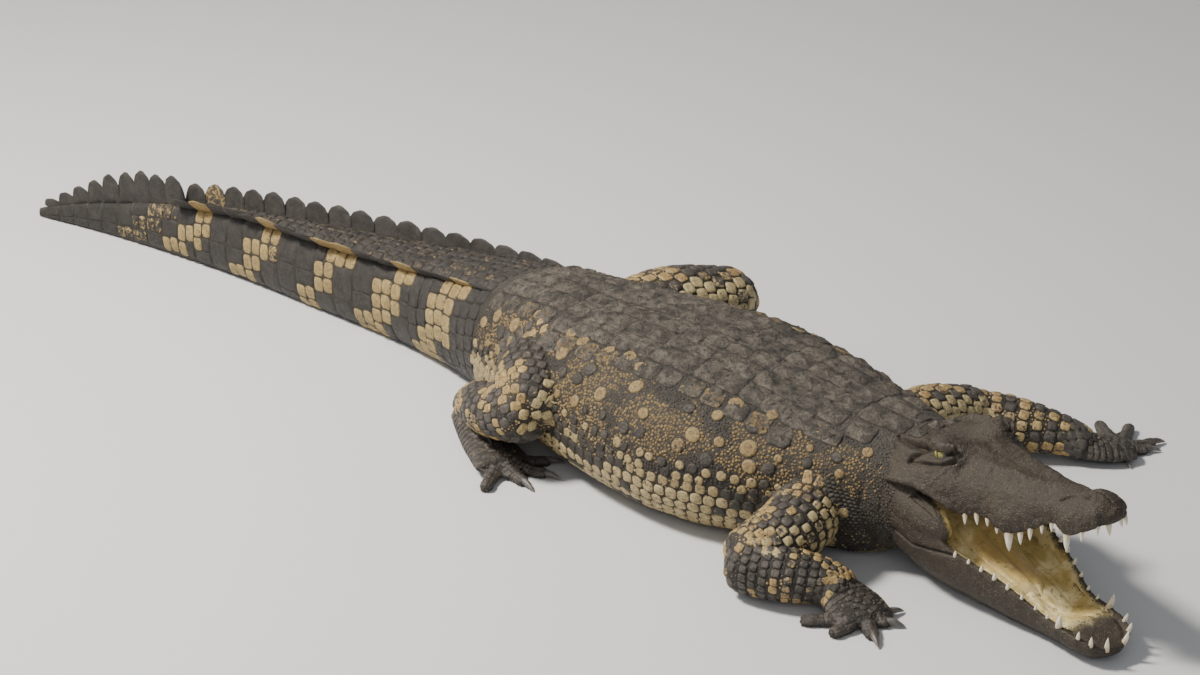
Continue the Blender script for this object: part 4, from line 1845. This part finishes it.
# %% [markdown]
# ## Plates of the legs
#
# A leg wears plates in rings, like a sleeve: large ones on its front, smaller ones behind, and rows
# of narrow ones on the toes. They are laid round each length of the limb, and then rings round the
# bent knee or elbow fill the place that the two lengths leave open.

# %% Rings of a leg
def limb_frame(table, share, angle):
    """Point, outward axis and the way onward on a limb."""
    here = tube_points(table, share, angle)
    axis = here - np.array([read(table, share, column) for column in (1, 2, 3)])
    ahead = tube_points(table, min(share + 0.02, 1.0), angle)
    behind = tube_points(table, max(share - 0.02, 0.0), angle)
    return Vector(here), Vector(axis).normalized(), Vector(ahead - behind).normalized()


def frontness(axis):
    """The plates that face forward are the palest."""
    return float(soft_step(np.array(axis.x), 0.35, 0.75))


def leg_rings(layout, limb, number):
    """Rings of plates along the upper arm or thigh, the lower arm or shin, and the palm."""
    for section, (key, pitch) in enumerate(zip(LIMB_PARTS, (*LEG_PITCH[limb], 0.0095))):
        palm = key == "palm"
        places = LIMBS[limb][key]
        table = chain(places)
        length = sum((Vector(b[:3]) - Vector(a[:3])).length for a, b in zip(places, places[1:]))
        start = 0.10 if key == "upper" else 0.02
        rows = int(length * (1.02 - start) / pitch)
        for row in range(rows + 1):
            share = start + (1.0 - start) * (row + 0.5) / (rows + 1)
            girth = math.pi * float(read(table, share, 4) + read(table, share, 5))
            count = max(6, round(girth / (pitch * (1.6 if palm else 1.06))))
            for k in range(count):
                angle = 2 * math.pi * (k + 0.5 * (row % 2)) / count
                point, axis, onward = limb_frame(table, share, angle)
                front = frontness(axis) * (not palm)
                gold = float(limb_gold([point], 21)[0]) * dice.uniform(0.50, 1.10)
                gold = max(gold * (0.3 if palm else 1.0), front * dice.uniform(0.35, 1.1))
                size = dice.uniform(0.84, 1.0)
                halves = (0.5 * pitch * 1.03 * size, (0.5 * girth / count - 0.0003) * size)
                layout.add(point, axis, onward, halves, 0.0018 if palm else 0.0030,
                           gold, 0.15 + 0.75 * front, 0.30, (section * 0.4 + share * 0.3, angle / 7 + number),
                           0.013 if key == "upper" else 0.006, dice.uniform(-0.22, 0.22), facing=0.66)


# %% Knees, elbows and toes
def knee_rings(layout, limb, number):
    """The rounded knee or elbow: rings round the end of the upper length, where no plate lies yet."""
    table, pitch = chain(LIMBS[limb]["upper"]), LEG_PITCH[limb][0]
    middle = Vector([float(read(table, 1.0, column)) for column in (1, 2, 3)])
    onward = limb_frame(table, 0.97, 0.0)[2]
    side = onward.orthogonal().normalized()
    wide = float(read(table, 1.0, 4))
    for polar in np.arange(0.4 * pitch / wide, 1.75, pitch / wide):
        count = max(1, round(2 * math.pi * wide * math.sin(polar) / (pitch * 1.05)))
        for k in range(count):
            angle = 2 * math.pi * (k + 0.5) / count
            aside = side * math.cos(angle) + onward.cross(side) * math.sin(angle)
            aim = onward * math.cos(polar) + aside * math.sin(polar)
            hit = seat(middle + aim * wide, aim, 0.024, 0.74)
            if hit is None or any((Vector(row[0]) - hit).length < pitch * 0.84 for row in layout.rows):
                continue
            front = frontness(aim)
            gold = float(limb_gold([hit], 21)[0]) * dice.uniform(0.50, 1.10)
            gold = max(gold, front * dice.uniform(0.35, 1.1))
            layout.add(hit, aim, aside * math.cos(polar) - onward * math.sin(polar),
                       (pitch * 0.46, pitch * 0.46), 0.0030, gold, 0.15 + 0.75 * front, 0.30,
                       (0.37 + polar * 0.1, angle / 7 + number), spin=dice.uniform(-0.22, 0.22), facing=0.74)


def toe_rows(layout, limb, number):
    """Three rows of small plates on the top of each toe."""
    for toe in range(len(LIMBS[limb]["toes"])):
        places = toe_places(LIMBS[limb], toe)[0]
        table = chain(places)
        length = (Vector(places[-1][:3]) - Vector(places[0][:3])).length
        rows = max(4, round(length / 0.0062))
        for row in range(rows):
            share = (row + 0.6) / rows
            for angle in (-1.05, 0.0, 1.05):
                point, axis, onward = limb_frame(table, min(share, 0.98), angle)
                radius = float(read(table, share, 4))
                layout.add(point, axis, onward, (0.0036, radius * 0.50), 0.0016, 0.10 * dice.random(), 0.2,
                           0.35, (1.3 + toe * 0.15 + share * 0.1, angle / 7 + number), reach=0.004)


# %% Legs, one after the other
LEG_PITCH = {"right_fore": (0.0165, 0.0135), "left_fore": (0.0220, 0.0190),
             "right_hind": (0.0175, 0.0165), "left_hind": (0.0240, 0.0190)}
for number, limb in enumerate(LIMBS):
    layout = Layout()
    leg_rings(layout, limb, number)
    knee_rings(layout, limb, number)
    toe_rows(layout, limb, number)
    pieces.append(lay(layout, f"{limb}_scales", "square", leg_finish, Wear=0.0012, Wear_Grain=220.0,
                      Wobble=0.0024))

# %% [markdown]
# ## Crest of the tail
#
# Two rows of tall scutes run down the tail, and become one towards the tip. On the right the row
# has dropped outwards, and its undersides show yellow where the tail is banded. Each scute is a
# rounded leaf, thick at its root and thin at its edge, leaning to the rear. One leaf is made in
# code, and the same tree stands copies of it along the tail, this time without bending them.

# %% The leaf of a scute
def crest_leaf(rows=8, columns=9):
    """x is towards the tail, z is up and y through. It is one unit long, high and thick."""
    verts, rims = [], []
    for face in (1, -1):
        for i in range(rows):
            up = i / (rows - 1)
            half_width = max((1 - up ** 2.6) ** (1 / 2.6), 0.16)
            for j in range(columns):
                t = -1 + 2 * j / (columns - 1)
                x = 1.24 * t * half_width + 0.16 * up * up
                body = (1 - 0.80 * up) * (1 - 0.75 * abs(t) ** 3)
                verts.append((x, face * 0.5 * max(body, 0.07), -0.22 + 1.22 * up))
                rims.append(0.86 * up)
    half = rows * columns
    faces = []
    for i in range(rows - 1):
        for j in range(columns - 1):
            a = i * columns + j
            b = a + half
            faces.append((a, a + columns, a + columns + 1, a + 1))
            faces.append((b, b + 1, b + columns + 1, b + columns))
    rim = [i * columns for i in range(rows)] + [(rows - 1) * columns + j for j in range(1, columns)]
    rim += [i * columns + columns - 1 for i in range(rows - 2, -1, -1)]
    faces += [(a, a + half, b + half, b) for a, b in zip(rim, rim[1:])]
    obj = mesh_object("crest_leaf", verts, faces)
    face_outward(obj)
    store(obj.data, "lift", [0.0] * len(verts))
    store(obj.data, "rim", rims)
    store(obj.data, "patch", [(x, z, 0) for x, y, z in verts], "FLOAT_VECTOR")
    return obj


SHAPES["leaf"] = crest_leaf()
print("the leaf has", len(SHAPES["leaf"].data.polygons), "faces")

# %% The rows of leaves
SINGLE_HEIGHT = ((-1.37, 0.008), (-1.30, 0.026), (-1.18, 0.056), (-1.08, 0.058), (-1.00, 0.052))
DOUBLE_HEIGHT = ((-1.02, 0.042), (-0.90, 0.042), (-0.70, 0.040), (-0.50, 0.034), (-0.30, 0.021),
                 (-0.16, 0.008))
LEANS = ((1, 14), (-1, -48))  # degrees, of the left and of the right row
SCUTE_THICKNESS = 0.0085

crest = Layout()
for front, rear in zip(rings, rings[1:]):
    station = (front + rear) / 2
    single = station < TWO_CRESTS_END
    for hand, lean in ((0, 0.0),) if single else LEANS:
        height = float(read(SINGLE_HEIGHT if single else DOUBLE_HEIGHT, station)) * dice.uniform(0.94, 1.04)
        angle = 0.0 if single else math.radians(float(read(CREST_ANGLES, station)))
        share = float(share_of(np.array(station), np.array(angle)))
        point, axis, rearward = body_frame(station, max(share, 0.001), hand or 1)
        heading = float(np.interp(station, AXIS_STATIONS, AXIS_HEADINGS))
        tilt = math.radians(lean + dice.uniform(-5, 5))
        leftward = Vector((-math.sin(heading), math.cos(heading), 0))
        up = leftward * math.sin(tilt) + Vector((0, 0, 1)) * math.cos(tilt)
        rearward = (rearward - up * rearward.dot(up)).normalized()
        turn = Matrix((rearward, up.cross(rearward), up)).transposed().to_euler()
        yellow = float(band(np.array(station), np.array(crest_share(station) * 1.05)))
        yellow = yellow if hand < 0 else (0.45 if dice.random() < 0.05 else 0.10) * (not single)
        size = ((front - rear) * 0.50, SCUTE_THICKNESS, height)
        crest.rows.append((tuple(point - up * 0.002), tuple(axis), tuple(turn), size,
                           0.0, yellow, 0.1, 0.5, dice.random(), (station, 0.1 * hand)))
pieces.append(lay(crest, "tail_crests", "leaf", tail_finish, Follow_Bed=False, Wear=0.0))

# %% [markdown]
# ## Beads and pebbles between the large scales
#
# Between the large scales the skin is filled with beads two to six millimetres across, and the head
# has a fine pebble grain. Nobody places those one by one. The second tree scatters points on the
# skin with an even spacing, throws out those that a large scale already covers, and stands a bead
# on each. A painted weight on the skin says where beads grow.

# %% The tree that scatters
scatter_beads, given, out = node_group("scatter_beads", "GeometryNodeTree", (
    ("Geometry", "Geometry", None), ("Bead Shape", "Object", None), ("Covered By", "Object", None),
    ("Clearance", "Float", 0.0012), ("Spacing", "Float", 0.005), ("Most Per Square Metre", "Float", 300000.0),
    ("Weight", "String", "beads"), ("Smallest", "Float", 0.0018), ("Largest", "Float", 0.0028),
    ("Height", "Float", 0.6), ("Seed", "Int", 3), ("Patch", "Float", 0.0015), ("Finish", "Material", None),
), (("Geometry", "Geometry"),))
tree = scatter_beads
scatter = add(tree, "GeometryNodeDistributePointsOnFaces", {
    "Mesh": given["Geometry"],
    "Distance Min": given["Spacing"],
    "Density Max": given["Most Per Square Metre"],
    "Density Factor": attribute(tree, given["Weight"]),
    "Seed": given["Seed"],
}, distribute_method="POISSON").outputs
# Throw out the points that something covers already.
distance = add(tree, "GeometryNodeProximity", {"Geometry": shape_of(tree, given["Covered By"])},
               target_element="FACES").outputs["Distance"]
too_near = add(tree, "FunctionNodeCompare", {"A": distance, "B": given["Clearance"]}, operation="LESS_THAN")
rest = add(tree, "GeometryNodeDeleteGeometry",
           {"Geometry": scatter["Points"], "Selection": too_near.outputs["Result"]}, domain="POINT")
# Every bead draws a lot, for its size and its colour.
lot = add(tree, "FunctionNodeRandomValue", {"Seed": given["Seed"]}, data_type="FLOAT").outputs[1]
drawn = add(tree, "GeometryNodeStoreNamedAttribute", {
    "Geometry": rest.outputs["Geometry"], "Name": "chance", "Value": lot,
}, data_type="FLOAT", domain="POINT").outputs["Geometry"]
sizes = {"Value": attribute(tree, "chance"), "To Min": given["Smallest"], "To Max": given["Largest"]}
size = add(tree, "ShaderNodeMapRange", sizes).outputs["Result"]
even = add(tree, "ShaderNodeCombineXYZ", {"X": size, "Y": size, "Z": size}).outputs["Vector"]
real = made_real(tree, drawn, shape_of(tree, given["Bead Shape"]), scatter["Rotation"], even)
here = tree.nodes.new("GeometryNodeInputPosition").outputs["Position"]
end_tree(tree, given, out, real, here)
print("the second tree has", len(scatter_beads.nodes), "nodes")


# %% Domed shapes, and what is covered
def domed(shape, height):
    """A copy of a flat scale shape that stands up by its own profile."""
    obj = in_scene(shape.name + "_domed", shape.data.copy())
    lifts = np.empty(len(obj.data.vertices), np.float32)
    obj.data.attributes["lift"].data.foreach_get("value", lifts)
    points = coords(obj.data)
    points[:, 2] = lifts * height
    set_coords(obj.data, points)
    return obj


bead_shape = domed(SHAPES["bead"], 0.55)
pebble_shape = domed(SHAPES["pebble"], 0.22)

cover = in_scene("covered", bpy.data.meshes.new("covered"))
net = bmesh.new()
for piece in pieces:
    net.from_mesh(piece.data)
net.to_mesh(cover.data)
net.free()
print("faces that cover the skin already:", len(cover.data.polygons))


# %% Beads on the body and the legs, pebbles on the head
def scatter_on_skin(name, weight, shape, finish, **settings):
    """Beads on the part of the skin where the weight is."""
    obj = in_scene(name, skin.data.copy())
    store(obj.data, "beads", weight)
    run_tree(obj, scatter_beads, finish, Bead_Shape=shape, Covered_By=cover, **settings)
    forget(obj.data, "home", "patch", "beads", "pebbles")
    print(name, len(obj.data.polygons), "faces")
    pieces.append(obj)


is_body = skin_part == 0
skin_station = source_along[skin_owner]
hand = np.sign(source_around[skin_owner])
hand[hand == 0] = 1.0
home_along = np.where(is_body, skin_station, skin_station * 0.1 + skin_part * 0.12)
home_around = np.where(is_body, skin_values["share"], np.abs(source_around[skin_owner]))
store(skin.data, "home", on_unwrap(np.column_stack([home_along, home_around * hand])), "FLOAT_VECTOR")

NECK_FROM = 0.56
bead_weight = smoothed(skin.data, skin_values["beads"], 2)
for name, chosen, size in (
    ("right_flank_beads", is_body & (hand < 0) & (skin_station < NECK_FROM), 1.0),
    ("left_flank_beads", is_body & (hand > 0) & (skin_station < NECK_FROM), 1.0),
    ("neck_beads", is_body & (skin_station >= NECK_FROM), 0.88),
):
    scatter_on_skin(name, bead_weight * chosen, bead_shape, coat_finish, Spacing=0.0043 * size,
                    Smallest=0.0014 * size, Largest=0.0030 * size, Clearance=0.0010, Seed=5)
scatter_on_skin("leg_beads", bead_weight * (skin_part > 2), bead_shape, leg_finish, Spacing=0.0046,
                Smallest=0.0014, Largest=0.0024, Clearance=0.0014, Seed=9)
pebble_weight = smoothed(skin.data, skin_values["pebbles"], 1)
for name, number in (("skull_pebbles", 1), ("jaw_pebbles", 2)):
    scatter_on_skin(name, pebble_weight * (skin_part == number), pebble_shape, pebble_finish, Spacing=0.0027,
                    Smallest=0.0009, Largest=0.0018, Clearance=0.0, Seed=11)

# %% [markdown]
# ## Eyes and lids
#
# The eye is a ball some 29 mm across, set deep under the brow, with an olive-yellow iris and a
# slit for a pupil. It keeps its own coordinates as an attribute, so the material can paint the
# iris round the line of sight. The upper lid is a heavy roll under the brow, the lower one a thin
# roll along the curved edge of the opening, and their outer sides are buried in the head.

# %% Tubes of points
def tube_faces(rings, sides, caps=True):
    """The faces of a tube of points that run ring after ring."""
    faces = []
    for ring in range(rings - 1):
        for j in range(sides):
            a, b = ring * sides + j, ring * sides + (j + 1) % sides
            faces.append((a, a + sides, b + sides, b))
    if caps:
        faces.append(tuple(range(sides)))
        faces.append(tuple(range(rings * sides - 1, (rings - 1) * sides - 1, -1)))
    return faces


def gathered(name, solids):
    """One object from several lists of points and faces."""
    verts, faces = [], []
    for some_verts, some_faces in solids:
        start = len(verts)
        verts += some_verts
        faces += [tuple(i + start for i in face) for face in some_faces]
    obj = mesh_object(name, verts, faces)
    face_outward(obj)
    obj.data.shade_smooth()
    return obj


# %% Eyeballs
CORNEA = 0.03  # how far the front of the ball stands out, in radii


def eyeball(hand, name, rings=41, sides=56):
    """A ball with its pole on the line of sight, a little bulged there."""
    middle, front, up, out = eye_axes(hand)
    verts, gaze = [], []
    for i in range(rings):
        polar = math.pi * i / (rings - 1)
        for j in range(sides):
            a = 2 * math.pi * j / sides
            g = (math.sin(polar) * math.cos(a), math.sin(polar) * math.sin(a), math.cos(polar))
            gaze.append(g)
            bulge = 1 + CORNEA * max(0.0, (g[2] - 0.72) / 0.28)
            verts.append(middle + (front * g[0] + up * g[1] + out * g[2]) * EYE_RADIUS * 0.985 * bulge)
    obj = mesh_object(name, verts, tube_faces(rings, sides, caps=False))
    store(obj.data, "gaze", gaze, "FLOAT_VECTOR")
    face_outward(obj, merge=1e-6)
    obj.data.shade_smooth()
    return obj


eyes = {hand: eyeball(hand, name) for hand, name in ((1, "left_eyeball"), (-1, "right_eyeball"))}
print("two eyes,", len(eyes[1].data.polygons), "faces each")


# %% Lids
def roll(path, radii, sides, flat, ups):
    """A closed roll of skin along a line of points, as points and faces."""
    verts = []
    for k in range(len(path)):
        tangent = (path[min(k + 1, len(path) - 1)] - path[max(k - 1, 0)]).normalized()
        across = tangent.cross(ups[k]).normalized()
        through = across.cross(tangent).normalized()
        for j in range(sides):
            a = 2 * math.pi * j / sides
            over, out = radii[k] * math.cos(a), radii[k] * flat * math.sin(a)
            verts.append(path[k] + across * over + through * out)
    return verts, tube_faces(len(path), sides)


# How far out the upper lid stands along the eye, both in radii of the ball.
BROW_OUT = ((-1.15, 0.30), (-0.7, 0.66), (0.0, 0.92), (0.6, 0.84), (1.0, 0.62), (1.4, 0.34), (1.7, 0.12))
LOWER_LID_RADIUS = 0.0015


def upper_lid(hand):
    """The heavy roll under the brow, with faint grooves across it."""
    middle, front, up, out = eye_axes(hand)
    path, radii = [], []
    for along in np.linspace(-1.10, 1.72, 84):
        size = 0.0014 + 0.0060 * float(soft_step(along, -1.0, 0.15) * (1 - soft_step(along, 1.30, 1.76)))
        size *= 1 + 0.013 * math.cos(along * 17 + 0.8)
        above = 0.19 * EYE_RADIUS - 0.0010 * along + 0.88 * size
        outward = float(np.interp(along, *zip(*BROW_OUT))) * EYE_RADIUS
        path.append(middle + front * (along * EYE_RADIUS) + up * above + out * outward)
        radii.append(size)
    return roll(path, radii, 22, 0.54, [out] * len(path))


def lower_lid(hand):
    """The thin roll under the ball, from corner to corner of the opening."""
    middle, front, up, out = eye_axes(hand)
    path, ups = [], []
    for t in np.linspace(-1.12, 1.06, 60):
        along = ALMOND_MIDDLE + ALMOND_HALF * t
        above = float(lid_line(t, -LOWER_LID))
        outward = math.sqrt(max(1 - along * along - above * above, 0.02))
        spot = (front * along + up * above + out * outward).normalized()
        path.append(middle + spot * (EYE_RADIUS * 1.05 - 0.004 * max(abs(t) - 0.95, 0.0)))
        ups.append(spot)
    return roll(path, [LOWER_LID_RADIUS] * len(path), 12, 0.8, ups)


lid_solids = [lid(hand) for hand in (1, -1) for lid in (upper_lid, lower_lid)]
lids = gathered("eyelids", lid_solids)
print(len(lid_solids), "lids,", len(lids.data.polygons), "faces")

# %% [markdown]
# ## Teeth, claws and tongue
#
# A crocodile's teeth are plain cones, a little curved back and ridged, of very unequal size. They
# stand in the edge of each jaw, so the lower ones rise outside the lip line and show. The claws
# are longer cones that droop. Both kinds come from one function for a curved cone.

# %% Curved cones
def curved_cone(foot, tip, bend, radius, sides=14, rings=9, ridges=0.0, blunt=0.12):
    """A cone from foot to tip whose middle is pushed aside by bend, and its points' shares of the way."""
    verts, shares = [], []
    run = tip - foot
    for i in range(rings):
        t = i / (rings - 1)
        middle = foot + run * t + bend * (4 * t * (1 - t))
        ahead = (run + bend * (4 - 8 * t)).normalized()
        across = ahead.cross(Vector((0.31, 0.52, 0.79))).normalized()
        through = across.cross(ahead)
        size = radius * (math.cos(t * math.pi / 2) ** 0.80 * (1 - blunt) + blunt * (1 - t ** 6))
        for j in range(sides):
            a = 2 * math.pi * j / sides
            wave = 1 + ridges * (1 if j % 2 else -1) * (1 - t)
            verts.append(middle + (across * math.cos(a) + through * math.sin(a)) * size * wave)
            shares.append(t)
    return verts, tube_faces(rings, sides), shares


def cones(name, solids):
    """One object from several cones, with their shares as an attribute."""
    obj = gathered(name, [solid[:2] for solid in solids])
    store(obj.data, "along", [share for solid in solids for share in solid[2]])
    print(len(solids), name)
    return obj


# %% Teeth
def tooth_foot(upper, station, radius, hand):
    """Where a tooth stands in the edge of its jaw."""
    if upper:
        half, edge = float(read(SKULL, station, 1)), float(read(SKULL, station, 4))
        return Vector((station, hand * (half - 0.0045 - 0.3 * radius), edge + 0.007))
    half, edge = float(read(JAW, station, 1)), float(read(JAW, station, 2))
    return Vector((station, hand * (half - 0.006), edge - 0.006))


tooth_solids = []
for jaw, table, sense in ((SKULL_FRAME, UPPER_TEETH, -1), (JAW_FRAME, LOWER_TEETH, 1)):
    for station, length, radius in table:
        for hand in (1, -1):
            foot = tooth_foot(sense < 0, station, radius, hand)
            lean = Vector((0.06 + dice.uniform(-0.10, 0.05), hand * 0.14, sense)).normalized()
            tip = foot + lean * (length + 0.007) * dice.uniform(0.96, 1.03)
            bend = jaw.to_3x3() @ (Vector((0.5, hand * 0.8, 0)) * (0.07 * length))
            tooth_solids.append(curved_cone(jaw @ foot, jaw @ tip, bend, radius, ridges=0.025))
teeth = cones("teeth", tooth_solids)

# %% Claws
CLAW_TOP = Vector((0, 0, 0.0072))  # over the end of the toe
CLAW_TIP_LEVEL = 0.0016
CLAW_DROOP = Vector((0, 0, 0.0034))

claw_solids = []
for end, tip, along in claw_seats:
    foot = Vector(end) - along * 0.008 + CLAW_TOP
    point = Vector((tip.x, tip.y, CLAW_TIP_LEVEL))
    verts, faces, shares = curved_cone(foot, point, CLAW_DROOP, CLAW_RADIUS * 1.02, 16, 12, blunt=0.16)
    claw_solids.append(([Vector((v.x, v.y, max(v.z, 0.0))) for v in verts], faces, shares))
claws = cones("claws", claw_solids)

# %% Tongue
TONGUE = (  # in the jaw's frame: x, half width, top
    (0.062, 0.022, -0.012), (0.090, 0.036, -0.010), (0.140, 0.037, -0.020),
    (0.190, 0.030, -0.026), (0.232, 0.019, -0.034), (0.243, 0.008, -0.040),
)
TONGUE_THICKNESS = 0.012
rows, columns = 44, 29
x = TONGUE[0][0] + (TONGUE[-1][0] - TONGUE[0][0]) * np.linspace(0, 1, rows)[:, None]
across = np.linspace(-1, 1, columns)[None, :]
groove = 0.0030 * swell(across, 0.16)
z = read(TONGUE, x, 2) - 0.007 * np.abs(across) ** 2.6 - groove
grid = np.stack(np.broadcast_arrays(x, read(TONGUE, x, 1) * across, z), -1)
bumps = noise_at((grid * np.array([0.35, 1, 1])).reshape(-1, 3), 170, 12).reshape(rows, columns)
grid[..., 2] += 0.0014 * bumps
sides_of_tongue = [placed(JAW_FRAME, side) for side in (grid, grid - np.array([0, 0, TONGUE_THICKNESS]))]
count = rows * columns
index = np.arange(count).reshape(rows, columns)
faces = np.stack([index[:-1, :-1], index[1:, :-1], index[1:, 1:], index[:-1, 1:]], -1).reshape(-1, 4).tolist()
faces += (np.array(faces)[:, ::-1] + count).tolist()
rim = index[0].tolist() + index[1:, -1].tolist() + index[-1, -2::-1].tolist() + index[-2:0:-1, 0].tolist()
faces += [(a, b, b + count, a + count) for a, b in zip(rim, rim[1:] + rim[:1])]
tongue_points = [Vector(point) for side in sides_of_tongue for point in side.reshape(-1, 3)]
tongue = gathered("tongue_flesh", [(tongue_points, faces)])
print("the tongue has", len(tongue.data.polygons), "faces")

# %% [markdown]
# ## Dress the solids
#
# Every piece was made in the frame of the hips and is moved to its place on the solids here. The
# skin replaces the solids of the flesh, and the eyes, claws and tongue replace theirs.

# %% Into place
pieces += [teeth, claws, tongue, lids, *eyes.values()]
for piece in (skin, *pieces):
    set_coords(piece.data, coords(piece.data) + np.array(HIPS))
for helper in (bed, cover, bead_shape, pebble_shape, *SHAPES.values()):
    bpy.data.objects.remove(helper)
skin.data.shade_smooth()
forget(skin.data, "beads", "pebbles", "home")
give(skin, skin_finish)
give(teeth, tooth_finish)
give(claws, claw_finish)
give(tongue, tongue_finish)
give(lids, pebble_finish)
for eye in eyes.values():
    give(eye, eye_finish)
print(len(pieces) + 1, "pieces in place")

# %% Onto the body
eye_nodes = ["left_eye", "right_eye"]
claw_nodes = [name for name in frame["nodes"] if "claw" in name]
flesh_nodes = [name for name in frame["nodes"] if name not in (*eye_nodes, *claw_nodes, "tongue")]
for piece in (skin, *pieces):
    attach(piece, "root")
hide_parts(*flesh_nodes)
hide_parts(*claw_nodes)
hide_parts("tongue")
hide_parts("left_eye")
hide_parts("right_eye")

print("the skin replaces", len(flesh_nodes), "solids")

# %% Sizes
total = 0
for piece in (skin, *pieces):
    piece.data.calc_loop_triangles()
    count = len(piece.data.loop_triangles)
    total += count
    print(f"{piece.name:20}{count:8} triangles")
print("whole model", total, "triangles")
